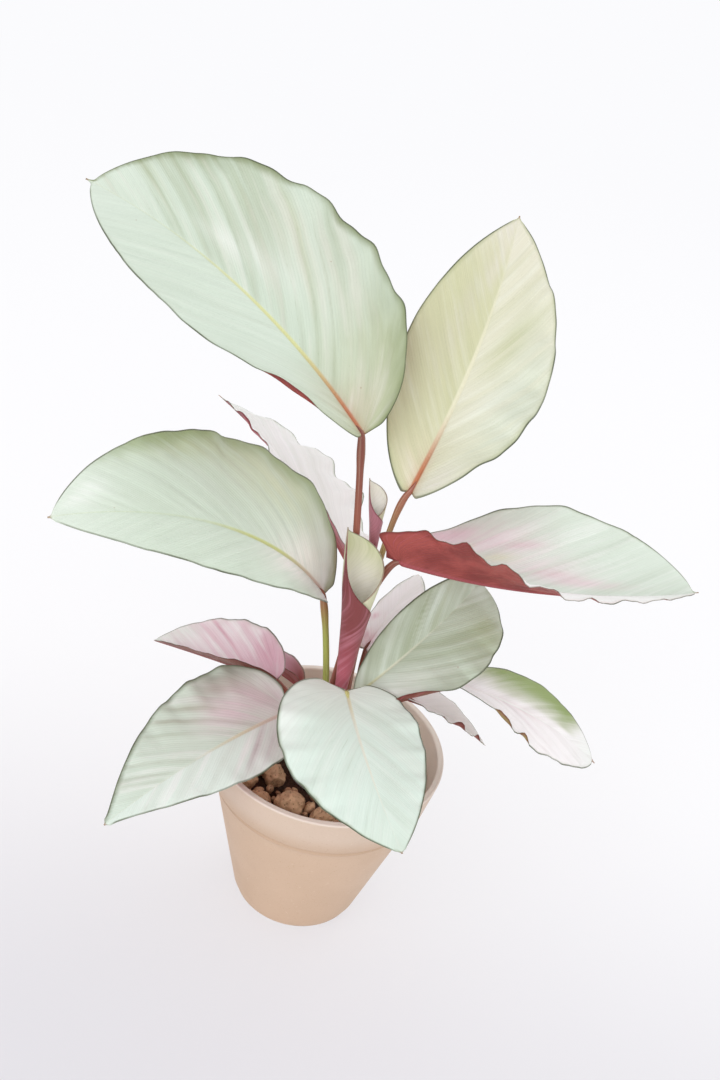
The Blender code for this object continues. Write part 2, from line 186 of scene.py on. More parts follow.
BLADES = [
    Blade(
        "high_left", (-0.014, 0.003, 0.2315), 156, 38, -11, 0.147, 34,
        left=Half(0.034, 28, 8, 14), right=Half(0.051, 25, 11, 0),
        sweep=2, twist=-21, fullness=(0.58, 0.72), lobe=0.05,
        pleats=17, waves=(Wave(4, 0.0005), Wave(6, 0.0016, 40)),
        turns=(TurnUp(-1, 0.19, 0.095, 0.905, 150),), tail=0.022,
    ),
    Blade(
        "high_right", (0.009, 0.008, 0.21), 67, 48, 2, 0.123, 11,
        left=Half(0.028, 13, 6, -7), right=Half(0.031, 25, -6, -5),
        sweep=22, twist=3, fullness=(0.7, 0.83), lobe=0.14,
        pleats=12, waves=(Wave(4, 0.0005), Wave(5, 0.0028, 200)), tail=0.015,
    ),
    Blade(
        "mid_left", (-0.0155, -0.003, 0.1615), 217, 54, -30, 0.128, 64,
        left=Half(0.02, 23, 5, 0), right=Half(0.039, 25, 2, -4),
        sweep=-12, twist=-3, fullness=(0.58, 0.76), lobe=0.16,
        pleats=15, waves=(Wave(5, 0.0005), Wave(6, 0.001)),
    ),
    Blade(
        "back_left", (-0.003, 0.015, 0.159), 133, 26, 35, 0.118, 30,
        left=Half(0.024, 29, 10, 0), right=Half(0.033, 0, 20, -5),
        fullness=(0.53, 0.77),
        pleats=13, waves=(Wave(6, 0.001), Wave(5, 0.0024, 100)), vein_angles=(28, 14),
        turns=(TurnUp(-1, 0.66, 0.12, 0.93, 110),), tail=0.06,
    ),
    Blade(
        "mid_right", (0.01, -0.002, 0.1835), -5, -2, 6, 0.122, -8,
        left=Half(0.038, -9, 28, -2, lobe_share=0.3), right=Half(0.027, 93, 43, -12),
        sweep=29, fullness=(0.53, 0.63), lobe=0.6, lobe_round=0.07, fold_reach=0.57,
        pleats=13, waves=(Wave(4, 0.0006), Wave(9.1, 0.0021, 8, 1.15)),
        vein_angles=(36, 16), tail=0.02,
    ),
    Blade(
        "inner_right", (0.006, -0.0098, 0.1196), 27, 47, 25, 0.072, 21,
        left=Half(0.015, 12, 11, -3), right=Half(0.0265, 26, 16, 13),
        sweep=34, twist=20, fullness=(0.69, 0.5), lobe=0.0,
        pleats=10, waves=(Wave(4, 0.0005), Wave(5, 0.0016, 60)),
        turns=(TurnUp(1, 0.27, 0.21, 0.8, 150),),
    ),
    Blade(
        "small_back", (0.0065, 0.01, 0.1305), 64, 33, -18, 0.044, 24,
        left=Half(0.0095, 12, 1, -13), right=Half(0.0125, 12, 4, -9),
        sweep=8, fullness=(0.52, 0.75), lobe=0.2,
        pleats=8, waves=(Wave(4, 0.0003), Wave(4, 0.0004)),
    ),
    Blade(
        "front", (0.0025, -0.02, 0.1296), -75, 3, 0, 0.081, 15,
        left=Half(0.026, 8, 3, -16), right=Half(0.031, 13, -2, -9),
        sweep=16, twist=3, fullness=(0.4, 0.8), lobe=0.21,
        pleats=12, waves=(Wave(5, 0.0008), Wave(5, 0.0008, 80)),
    ),
    Blade(
        "front_left", (-0.0185, -0.012, 0.1065), 228, -1, -14, 0.0915, 17,
        left=Half(0.019, 13, 6, -12), right=Half(0.031, 15, 4, -13),
        sweep=6, twist=2, fullness=(0.42, 1.0),
        pleats=12, waves=(Wave(5, 0.0006), Wave(6, 0.001, 70)),
    ),
    Blade(
        "low_left", (-0.027, 0.008, 0.105), 163, -5, -13, 0.06, 8,
        left=Half(0.013, 70, 57, -2), right=Half(0.023, 14, 10, -3),
        sweep=-4, fullness=(0.53, 0.79), lobe=0.1,
        pleats=10, waves=(Wave(5, 0.0004), Wave(5, 0.0006)),
    ),
    Blade(
        "low_right", (0.044, 0.007, 0.1254), 10, -11, -5, 0.08, 30,
        left=Half(0.0185, 9, 16, 0), right=Half(0.0225, 24, 1, -6),
        twist=9, fullness=(0.6, 0.68), lobe=0.1,
        pleats=11, waves=(Wave(4, 0.0002), Wave(5, 0.0005, 120)), tail=0.03,
        turns=(TurnUp(1, 0.25, 0.07, 0.86, 150), TurnUp(1, 0.38, 0.05, 0.9, 150)),
    ),
    Blade(
        "small_right", (0.028, 0.004, 0.1145), 7, -13, -12, 0.0425, 28,
        left=Half(0.0125, 12, 12, 7), right=Half(0.0095, 17, 9, 1),
        twist=-3, fullness=(0.5, 0.86), lobe=0.04,
        pleats=8, waves=(Wave(4, 0.0003), Wave(4, 0.0006)), tail=0.03,
        turns=(TurnUp(1, 0.52, 0.1, 0.72, 140), TurnUp(1, 0.8, 0.07, 0.62, 130)),
    ),
    Blade(
        "small_left", (-0.0165, 0.022, 0.093), 150, 4, -12, 0.034, 10,
        left=Half(0.011, 80, 60, 0), right=Half(0.009, 40, 30, 0),
        fullness=(0.5, 0.8), lobe=0.1,
        pleats=7, waves=(Wave(4, 0.0003), Wave(4, 0.0003)),
    ),
]

SCROLLS = [
    Scroll(
        "rolled_large", (0.0, -0.0075, 0.121), 0.077, (-0.027, 0.0), -8, 1.0,
        outside=(("crimson", "wine", 0.22), ("crimson", "wine", 0.85)),
        # The near white low inside is partly painted light against the shade in the roll, the olive above
        # partly painted shade.
        inside=(("cream", "lilac", 0.45), ("olive", "sage", 0.2)),
    ),
    Scroll(
        "rolled_small", (0.0005, 0.012, 0.171), 0.038, (-0.1, 0.0), -8, 0.46,
        outside=(("crimson", "wine", 0.5), ("crimson", "plum", 0.35)),
        # The near white low inside is partly painted light against the shade in the roll.
        inside=(("lilac", "cream", 0.5), ("cream", "lilac", 0.2)),
    ),
]

# A red stalk goes from the shaded red at its foot through the lit brown in its middle to the shaded red at
# its top: painted shade and painted light.
RED_STALK = ("stalk_red", "stalk_brown", "stalk_red")
GREEN_STALK = ("stalk_green", "stalk_green", "stalk_brown")
STRAW_STALK = ("stalk_green", "stalk_straw", "stalk_brown")
PALE_STALK = ("stalk_green", "stalk_straw", "straw")

STALKS = [
    Stalk("high_left", (0.0026, 0.0006), (-0.15, 0.0, 1.0), 0.0015, RED_STALK),
    Stalk("high_right", (0.0026, 0.0063), (0.55, 0.1, 1.0), 0.0013, STRAW_STALK),
    Stalk("mid_left", (-0.0022, -0.0008), (-0.3, 0.0, 1.0), 0.0014, GREEN_STALK),
    Stalk("back_left", (-0.005, 0.006), (-0.15, 0.3, 1.0), 0.0013, RED_STALK),
    Stalk("mid_right", (0.0042, 0.0036), (0.75, 0.0, 1.0), 0.0014, RED_STALK, bend=0.018),
    Stalk("inner_right", (0.0068, -0.0068), (0.1, 0.1, 1.0), 0.0013, GREEN_STALK),
    Stalk("small_back", (0.0062, 0.0092), (0.0, 0.2, 1.0), 0.0011, RED_STALK),
    Stalk("front", (0.0028, -0.01), (0.0, -0.4, 1.0), 0.0014, PALE_STALK),
    Stalk("front_left", (-0.0065, -0.0075), (-0.7, -0.3, 1.0), 0.0013, RED_STALK),
    Stalk("low_left", (-0.0102, 0.001), (-0.8, 0.2, 0.5), 0.0012, RED_STALK),
    Stalk("low_right", (0.0098, 0.0055), (0.95, 0.0, 0.15), 0.0013, RED_STALK, bend=0.022),
    Stalk("small_right", (0.011, -0.0012), (0.7, 0.1, 0.4), 0.001, RED_STALK),
    Stalk("small_left", (-0.0088, 0.0065), (-0.4, 0.5, 0.8), 0.001, RED_STALK),
    Stalk("rolled_large", (-0.0005, -0.0055), (0.0, 0.0, 1.0), 0.0016, RED_STALK),
    Stalk("rolled_small", (-0.0008, 0.005), (0.0, 0.0, 1.0), 0.0012, RED_STALK),
]


# --- Leaf colours ---


@dataclass
class Patch:
    """A soft area of colour, streaked along the veins. Share is its strength, and a minus across is left.

    A band's place along is where its side vein leaves the midrib, so that it follows that vein.
    """

    colour: tuple
    along: float
    across: float
    length: float
    width: float
    share: float
    band: bool = False


@dataclass(frozen=True)
class Edge:
    """A soft shade along one margin.

    Its colour, strength, reach into the blade, unevenness, where it ends, how crisp its inner border is,
    how far streaks draw that border out, and from where on it has its full reach.
    """

    colour: tuple = ("moss", "mint", 0.3)
    share: float = 0.3
    reach: float = 0.0018
    uneven: float = 1.0
    until: float = 1.3
    crisp: float = 1.0
    brush: float = 0.9
    since: float = 0.0


@dataclass
class Look:
    """What one blade is painted with. A colour is (first, second, share of the second) from the palette.

    Bands and gleam are the strengths of its dark and pale streaks, on the left and on the right. They are
    partly its own streaks, partly painted shade in the pleats' hollows and a painted sheen on their crests.
    Clear is how much of its light comes through the blade, and dry where its withered tip starts.
    """

    left: tuple
    right: tuple
    base: tuple
    tip: tuple
    midrib_far: tuple
    base_share: float = 0.7
    base_reach: float = 0.25
    tip_share: float = 0.5
    left_edge: Edge = Edge()
    right_edge: Edge = Edge()
    midrib: tuple = ("amber", "straw", 0.0)
    midrib_fade: tuple = (0.4, 0.92)
    glow: float = 0.25
    bands: tuple = (0.15, 0.15)
    gleam: tuple = (0.25, 0.25)
    band_colour: tuple = ("moss", "sage", 0.6)
    gleam_colour: tuple = ("silver", "lilac", 0.55)
    patches: tuple = ()
    under: tuple = ("burgundy", "wine", 0.15)
    under_far: tuple = ("crimson", "burgundy", 0.4)
    clear: float = 0.0
    dry: float = 0.985


LOOKS = {}
LOOKS["high_left"] = Look(
    left=("mint", "silver", 0.1), right=("mint", "sage", 0.13),
    base=("olive", "sage", 0.45), tip=("mint", "silver", 0.4), base_share=0.9, base_reach=0.28,
    # Its right margin curls down: the dark right edge is partly its green margin, partly painted shade of
    # the curl.
    left_edge=Edge(share=0.25), right_edge=Edge(("moss", "margin", 0.3), 0.85, 0.004),
    bands=(0.06, 0.45), gleam=(0.1, 0.3), gleam_colour=("silver", "beige", 0.5),
    midrib_far=("straw", "mint", 0.15), midrib_fade=(0.35, 0.8),
    patches=(
        Patch(("beige", "mint", 0.3), 0.42, 0.62, 0.2, 0.28, 0.4),
        Patch(("silver", "lilac", 0.2), 0.62, 0.21, 0.1, 0.07, 0.45),
        Patch(("silver", "lilac", 0.2), 0.5, 0.3, 0.12, 0.1, 0.45),
        Patch(("moss", "olive", 0.4), 0.19, 0.6, 0.022, 0.45, 0.4, True),
        Patch(("moss", "sage", 0.4), 0.34, 0.62, 0.022, 0.42, 0.55, True),
        Patch(("moss", "sage", 0.4), 0.53, 0.6, 0.026, 0.42, 0.55, True),
        Patch(("moss", "olive", 0.3), 0.67, 0.62, 0.03, 0.45, 0.5, True),
        Patch(("moss", "margin", 0.2), 0.8, 0.95, 0.1, 0.16, 0.6),
        # Partly painted shade where the right margin curls down near the base.
        Patch(("moss", "margin", 0.1), 0.13, 0.9, 0.14, 0.24, 0.75),
        Patch(("mint", "silver", 0.3), 0.16, -0.6, 0.14, 0.6, 0.6),
        Patch(("olive", "sage", 0.5), 0.15, 0.55, 0.13, 0.45, 0.45),
        Patch(("rose", "olive", 0.5), 0.06, 0.22, 0.06, 0.3, 0.45),
        Patch(("rose", "olive", 0.6), 0.12, -0.3, 0.07, 0.3, 0.25),
    ),
    under=("burgundy", "wine", 0.4), under_far=("burgundy", "wine", 0.35),
)
LOOKS["high_right"] = Look(
    left=("olive", "cream", 0.28), right=("cream", "sage", 0.16),
    base=("olive", "cream", 0.2), tip=("cream", "beige", 0.3), base_reach=0.3, base_share=0.6,
    left_edge=Edge(("moss", "olive", 0.3), 0.5, 0.0022),
    right_edge=Edge(("moss", "olive", 0.3), 0.5, 0.002),
    bands=(0.25, 0.25), gleam=(0.25, 0.35), gleam_colour=("cream", "silver", 0.5),
    midrib_far=("cream", "straw", 0.15), band_colour=("olive", "moss", 0.25),
    patches=(
        Patch(("olive", "moss", 0.15), 0.42, 0.4, 0.08, 0.25, 0.75, True),
        Patch(("silver", "cream", 0.5), 0.2, 0.45, 0.05, 0.35, 0.7, True),
        Patch(("mint", "sage", 0.45), 0.36, 0.78, 0.28, 0.36, 0.7),
        Patch(("beige", "silver", 0.4), 0.05, 0.8, 0.1, 0.5, 0.8),
        Patch(("cream", "amber", 0.2), 0.07, -0.3, 0.1, 0.4, 0.7),
        Patch(("beige", "silver", 0.4), 0.95, -0.5, 0.08, 0.6, 0.7),
        Patch(("beige", "silver", 0.3), 0.8, -0.22, 0.09, 0.14, 0.55),
        Patch(("beige", "sage", 0.4), 0.6, -0.4, 0.2, 0.16, 0.35),
    ),
)
LOOKS["mid_left"] = Look(
    left=("mint", "sage", 0.12), right=("mint", "sage", 0.22),
    base=("lilac", "silver", 0.35), tip=("silver", "mint", 0.6),
    base_share=0.9, base_reach=0.2, tip_share=0.7,
    left_edge=Edge(share=0.2),
    right_edge=Edge(("moss", "fresh", 0.12), 0.85, 0.0075, uneven=0.4, until=1.0, brush=0.5),
    bands=(0.05, 0.1), gleam=(0.05, 0.06), clear=0.3,
    midrib=("beige", "amber", 0.25), midrib_far=("straw", "fresh", 0.3), midrib_fade=(0.34, 0.6),
    patches=(
        Patch(("lilac", "cream", 0.4), 0.21, -0.25, 0.11, 0.4, 1.0),
        Patch(("lilac", "cream", 0.5), 0.14, 0.18, 0.08, 0.3, 1.0),
        Patch(("olive", "moss", 0.5), 0.56, 0.82, 0.18, 0.16, 0.6),
        Patch(("olive", "mint", 0.3), 0.3, 0.7, 0.16, 0.3, 0.7),
        Patch(("silver", "lilac", 0.2), 0.9, 0.45, 0.06, 0.25, 0.6),
    ),
)
LOOKS["back_left"] = Look(
    left=("silver", "lilac", 0.6), right=("lilac", "silver", 0.65),
    base=("lilac", "rose", 0.35), tip=("silver", "mint", 0.25),
    base_reach=0.3, base_share=0.6, tip_share=0.8,
    right_edge=Edge(("sage", "moss", 0.3), 0.7, 0.0022),
    midrib=("lilac", "beige", 0.4), midrib_far=("lilac", "silver", 0.5),
    bands=(0.15, 0.2), gleam=(0.3, 0.6), band_colour=("sage", "silver", 0.5),
    clear=0.7, dry=0.965, gleam_colour=("lilac", "silver", 0.2),
)
LOOKS["mid_right"] = Look(
    left=("mint", "silver", 0.32), right=("lilac", "silver", 0.15),
    base=("silver", "rose", 0.3), tip=("silver", "mint", 0.6), base_reach=0.22, base_share=0.6,
    left_edge=Edge(("moss", "sage", 0.3), 0.6, 0.0016),
    right_edge=Edge(("rose", "cream", 0.5), 0.5, 0.003),
    midrib=("rose", "amber", 0.3), midrib_far=("rose", "mint", 0.5),
    bands=(0.14, 0.08), gleam=(0.32, 0.3), band_colour=("sage", "moss", 0.2),
    patches=(
        Patch(("rose", "lilac", 0.1), 0.14, -0.88, 0.07, 0.18, 0.8),
        Patch(("rose", "crimson", 0.08), 0.2, -0.8, 0.05, 0.1, 0.6),
        Patch(("rose", "lilac", 0.35), 0.27, -0.62, 0.17, 0.24, 0.8),
        Patch(("rose", "crimson", 0.04), 0.41, -0.52, 0.08, 0.06, 0.6),
        Patch(("rose", "lilac", 0.45), 0.44, -0.3, 0.16, 0.14, 0.7),
        Patch(("cream", "straw", 0.25), 0.33, -0.36, 0.06, 0.06, 0.8),
        Patch(("cream", "straw", 0.2), 0.22, -0.56, 0.03, 0.05, 0.7),
        Patch(("rose", "beige", 0.3), 0.5, -0.21, 0.08, 0.05, 0.7),
        Patch(("rose", "lilac", 0.15), 0.6, -0.14, 0.14, 0.06, 0.6),
    ),
    under=("burgundy", "wine", 0.45), under_far=("burgundy", "crimson", 0.15),
)
LOOKS["inner_right"] = Look(
    left=("sage", "mint", 0.18), right=("sage", "mint", 0.36),
    base=("mint", "sage", 0.15), tip=("mint", "sage", 0.3), base_share=0.9,
    left_edge=Edge(("moss", "sage", 0.3), 0.4, 0.0015),
    right_edge=Edge(("moss", "sage", 0.5), 0.3, 0.0012),
    midrib=("straw", "sage", 0.5), midrib_far=("cream", "sage", 0.4), midrib_fade=(0.25, 0.75),
    bands=(0.45, 0.4), gleam=(0.4, 0.35),
    band_colour=("moss", "sage", 0.45),
    gleam_colour=("mint", "silver", 0.5),
    patches=(
        Patch(("moss", "sage", 0.3), 0.48, 0.4, 0.05, 0.3, 0.55, True),
        Patch(("moss", "sage", 0.35), 0.33, 0.6, 0.03, 0.35, 0.45, True),
        Patch(("moss", "olive", 0.25), 0.58, -0.42, 0.03, 0.45, 0.65, True),
        Patch(("moss", "sage", 0.4), 0.4, -0.5, 0.025, 0.45, 0.4, True),
        Patch(("silver", "lilac", 0.4), 0.2, 0.6, 0.2, 0.4, 0.8),
        Patch(("frost", "silver", 0.3), 0.14, 0.25, 0.14, 0.3, 0.6),
        Patch(("frost", "silver", 0.2), 0.3, -0.35, 0.03, 0.4, 0.4, True),
        Patch(("frost", "silver", 0.2), 0.49, -0.4, 0.03, 0.4, 0.35, True),
        Patch(("olive", "moss", 0.7), 0.78, 0.68, 0.12, 0.35, 0.6),
        Patch(("frost", "silver", 0.2), 0.94, 0.28, 0.06, 0.45, 0.8),
        Patch(("sage", "moss", 0.2), 0.42, -0.45, 0.14, 0.45, 0.5),
        Patch(("mint", "silver", 0.2), 0.77, -0.35, 0.12, 0.6, 0.6),
    ),
    under=("bronze", "wine", 0.45), under_far=("bronze", "wine", 0.2),
)
LOOKS["small_back"] = Look(
    left=("lilac", "silver", 0.1), right=("lilac", "silver", 0.3),
    base=("lilac", "rose", 0.35), tip=("silver", "lilac", 0.3),
    midrib=("rose", "lilac", 0.3), midrib_far=("lilac", "silver", 0.5),
    bands=(0.15, 0.2), band_colour=("sage", "silver", 0.5), clear=1.0,
    patches=(
        Patch(("crimson", "rose", 0.4), 0.36, -0.6, 0.05, 0.2, 0.7),
        Patch(("crimson", "rose", 0.5), 0.12, -0.5, 0.08, 0.4, 0.6),
    ),
)
LOOKS["front"] = Look(
    left=("frost", "silver", 0.1), right=("frost", "silver", 0.05),
    base=("silver", "frost", 0.15), tip=("mint", "frost", 0.5), base_share=0.9, tip_share=0.8,
    left_edge=Edge(("sage", "margin", 0.3), 0.5, 0.0013),
    right_edge=Edge(("moss", "margin", 0.4), 0.6, 0.0016),
    midrib=("beige", "straw", 0.4), midrib_far=("silver", "cream", 0.6), glow=0.05, base_reach=0.3,
    bands=(0.22, 0.2), gleam=(0.4, 0.35),
    band_colour=("sage", "frost", 0.3),
    gleam_colour=("silver", "frost", 0.2),
    patches=(
        Patch(("lilac", "silver", 0.5), 0.24, 0.88, 0.16, 0.16, 0.5),
        Patch(("sage", "frost", 0.5), 0.66, -0.35, 0.12, 0.4, 0.35),
    ),
)
LOOKS["front_left"] = Look(
    left=("frost", "silver", 0.3), right=("mint", "frost", 0.15),
    base=("lilac", "frost", 0.25), tip=("frost", "mint", 0.3), base_reach=0.2, clear=0.18,
    left_edge=Edge(("moss", "sage", 0.3), 0.3, 0.0012),
    right_edge=Edge(("margin", "moss", 0.3), 0.85, 0.0024, uneven=0.6),
    midrib=("beige", "amber", 0.15), midrib_far=("beige", "straw", 0.35), midrib_fade=(0.22, 0.55),
    bands=(0.15, 0.3), gleam=(0.5, 0.35), band_colour=("moss", "plum", 0.4),
    patches=(
        Patch(("rose", "plum", 0.5), 0.17, 0.42, 0.19, 0.34, 0.85),
        Patch(("rose", "lilac", 0.45), 0.25, 0.38, 0.12, 0.2, 0.6),
        Patch(("margin", "wine", 0.12), 0.18, 0.9, 0.11, 0.16, 0.75),
        Patch(("plum", "moss", 0.45), 0.24, 0.72, 0.11, 0.16, 0.65),
        Patch(("moss", "plum", 0.3), 0.115, 0.72, 0.022, 0.3, 0.6, True),
        Patch(("moss", "plum", 0.3), 0.205, 0.66, 0.02, 0.28, 0.6, True),
        Patch(("moss", "sage", 0.4), 0.3, 0.6, 0.016, 0.3, 0.35, True),
        Patch(("plum", "lilac", 0.25), 0.06, -0.5, 0.09, 0.5, 0.6, True),
        Patch(("plum", "moss", 0.25), 0.05, -0.5, 0.026, 0.45, 0.6, True),
        Patch(("plum", "moss", 0.2), 0.145, -0.45, 0.018, 0.4, 0.75, True),
        Patch(("silver", "lilac", 0.3), 0.2, -0.45, 0.018, 0.4, 0.7, True),
        Patch(("silver", "lilac", 0.3), 0.095, -0.45, 0.014, 0.4, 0.6, True),
    ),
)
LOOKS["low_left"] = Look(
    left=("rose", "plum", 0.2), right=("rose", "lilac", 0.7),
    base=("rose", "lilac", 0.12), tip=("silver", "frost", 0.3), base_reach=0.5, tip_share=0.9,
    midrib=("rose", "crimson", 0.2), midrib_far=("rose", "lilac", 0.5),
    bands=(0.2, 0.32), gleam=(0.3, 0.85),
    band_colour=("rose", "crimson", 0.12),
    gleam_colour=("lilac", "silver", 0.2),
    patches=(
        Patch(("silver", "frost", 0.3), 0.85, 0.6, 0.22, 0.6, 0.9),
        Patch(("crimson", "rose", 0.6), 0.22, 0.6, 0.022, 0.45, 0.6, True),
        Patch(("crimson", "rose", 0.65), 0.34, 0.7, 0.018, 0.4, 0.45, True),
        Patch(("rose", "crimson", 0.1), 0.15, 0.55, 0.12, 0.45, 0.6),
    ),
    under=("bronze", "wine", 0.4), under_far=("bronze", "amber", 0.3), clear=0.15,
)
LOOKS["low_right"] = Look(
    left=("lilac", "silver", 0.2), right=("lilac", "silver", 0.1),
    base=("lilac", "silver", 0.2), tip=("silver", "frost", 0.5),
    left_edge=Edge(
        ("moss", "fresh", 0.4), 1.0, 0.022, uneven=0.15, until=1.0, crisp=1.6, brush=0.35, since=0.4,
    ),
    midrib=("lilac", "beige", 0.3), midrib_far=("lilac", "silver", 0.5),
    bands=(0.3, 0.25), gleam=(0.5, 0.5),
    band_colour=("sage", "plum", 0.4),
    gleam_colour=("lilac", "silver", 0.1),
    patches=(
        Patch(("rose", "beige", 0.5), 0.38, 0.04, 0.18, 0.1, 0.45),
        Patch(("sage", "plum", 0.45), 0.27, -0.3, 0.05, 0.35, 0.35, True),
        Patch(("sage", "plum", 0.45), 0.44, -0.25, 0.05, 0.3, 0.5, True),
        Patch(("plum", "lilac", 0.45), 0.3, 0.25, 0.04, 0.25, 0.5, True),
    ),
    under=("moss", "amber", 0.4), under_far=("moss", "amber", 0.3), clear=0.25, dry=0.965,
)
LOOKS["small_right"] = Look(
    left=("lilac", "silver", 0.0), right=("lilac", "silver", 0.0),
    base=("lilac", "rose", 0.15), tip=("lilac", "silver", 0.3), bands=(0.08, 0.08),
    midrib=("rose", "lilac", 0.6), midrib_far=("lilac", "silver", 0.5), left_edge=Edge(share=0.1),
    under=("bronze", "burgundy", 0.4), under_far=("bronze", "burgundy", 0.2),
    band_colour=("plum", "silver", 0.5), clear=1.0,
)
LOOKS["small_left"] = Look(
    left=("rose", "lilac", 0.22), right=("rose", "lilac", 0.22),
    base=("burgundy", "bronze", 0.3), base_reach=0.38, base_share=1.0, tip=("rose", "plum", 0.2),
    midrib=("crimson", "rose", 0.4), midrib_far=("rose", "plum", 0.3),
    under=("burgundy", "bronze", 0.2), under_far=("crimson", "beige", 0.25), clear=0.4,
)


# --- Settings ---


def colour_setting(name, code, description):
    return bpy.props.FloatVectorProperty(
        name=name, description=description, default=paint(code),
        subtype="COLOR", size=3, min=0.0, max=1.0,
    )


def length_setting(name, default, description, low=0.0, high=0.5):
    return bpy.props.FloatProperty(
        name=name, description=description, default=default, min=low, max=high,
        subtype="DISTANCE", unit="LENGTH", precision=5,
    )


class CalatheaPalette(bpy.types.PropertyGroup):
    """Colours that the leaves and their stalks are painted with."""

    mint: colour_setting("Mint", "ccd9ca", "Silvery green of most blades")
    frost: colour_setting("Frost", "dcece2", "Bluish pale green of the front blades")
    silver: colour_setting("Silver", "e6ece5", "Palest green, on crests and young blades")
    cream: colour_setting("Cream", "e2dfca", "Warm pale ground of the upper blades")
    olive: colour_setting("Olive", "bec093", "Yellowish green in the blades' shade")
    sage: colour_setting("Sage", "a8b29b", "Greyish green of the inner blade")
    moss: colour_setting("Moss", "84915e", "Green that shades the margins")
    fresh: colour_setting("Fresh green", "93ac5d", "Bright green margin of the low right blade")
    lilac: colour_setting("Lilac white", "faf6f8", "Near white of the variegated blades")
    rose: colour_setting("Rose", "dfb0c2", "Pink flush near the midrib")
    plum: colour_setting("Plum", "c0a5b3", "Greyish purple flush")
    beige: colour_setting("Beige", "dccfc6", "Pinkish grey of the pleats' crests")
    burgundy: colour_setting("Burgundy", "a04c42", "Underside of most blades")
    crimson: colour_setting("Crimson", "b65c6c", "Lit underside, and the outside of rolled leaves")
    wine: colour_setting("Wine", "6c2a28", "Darkest underside, near the midrib")
    bronze: colour_setting("Bronze", "7e5546", "Brownish underside of the low leaves")
    margin: colour_setting("Margin", "4a5238", "Thin dark line round each blade")
    amber: colour_setting("Amber", "b8683f", "Midrib where it leaves the stalk")
    straw: colour_setting("Straw", "d3d187", "Midrib halfway along the blade")
    dry: colour_setting("Dry tip", "8f6240", "Withered point of the blade")
    stalk_red: colour_setting("Red stalk", "7c4536", "Shaded parts of the red stalks")
    stalk_brown: colour_setting("Brown stalk", "9c5c4a", "Lit parts of the red stalks")
    stalk_straw: colour_setting("Straw stalk", "b8a36a", "Yellowish part of a green stalk")
    stalk_green: colour_setting("Green stalk", "a3ae55", "Lower part of a green stalk")


class CalatheaLeafSettings(bpy.types.PropertyGroup):
    """Sizes that all the blades share."""

    thickness: length_setting("Blade thickness", 0.00045, "Thickness of a blade between veins", high=0.002)
    pleat_depth: length_setting("Pleat depth", 0.00035, "Height of the pleats along the veins", high=0.003)
    vein_spacing: length_setting("Vein spacing", 0.0015, "Distance between two fine veins", 0.0004, 0.01)
    facet: length_setting("Facet", 0.0009, "Size of a blade's mesh faces", 0.0004, 0.01)
    waviness: bpy.props.FloatProperty(
        name="Waviness", description="Height of the margins' waves, as a share of each blade's own",
        default=1.0, min=0.0, max=2.0, subtype="FACTOR",
    )


class CalatheaPotSettings(bpy.types.PropertyGroup):
    """Pot, potting mix and lava stones."""

    height: length_setting("Pot height", POT_HIGH.z - POT_LOW.z, "Height of the pot", low=0.02)
    rim_radius: length_setting("Rim radius", (POT_HIGH.x - POT_LOW.x) / 2.0, "Radius of the rim", low=0.01)
    lip: length_setting("Lip width", 0.0028, "Width of the flat lip", high=0.01)
    band: length_setting("Band height", 0.0188, "Height of the wider band under the rim", high=0.1)
    wall: length_setting("Wall", 0.0018, "Thickness of the pot's wall", high=0.01)
    plastic: colour_setting("Pot", "c9ae96", "Matt plastic of the pot")
    mix: colour_setting("Potting mix", "6b5240", "Damp potting mix")
    stone: colour_setting("Lava stone", "f4cfa6", "Face of a lava stone")
    # Painted shade in the pits and hollows of the lava stones.
    stone_dark: colour_setting("Lava pores", "86624a", "Pores and hollows of a lava stone")


class CalatheaStageSettings(bpy.types.PropertyGroup):
    """Floor, light and camera."""

    floor: colour_setting("Floor", "fbfafc", "Plain pale floor")
    sky: bpy.props.FloatProperty(
        name="Sky level", description="Even light from all round", default=0.88, min=0.0, max=2.0,
    )
    lamp: bpy.props.FloatProperty(
        name="Lamp", description="Power of each softbox, in watts", default=9.0, min=0.0, max=200.0,
    )
    lens: bpy.props.FloatProperty(
        name="Lens", description="Focal length of the camera", default=50.0, min=10.0, max=200.0,
        subtype="DISTANCE_CAMERA",
    )


# --- Materials ---

NOISE_MIDDLE = (0.3, 0.7)


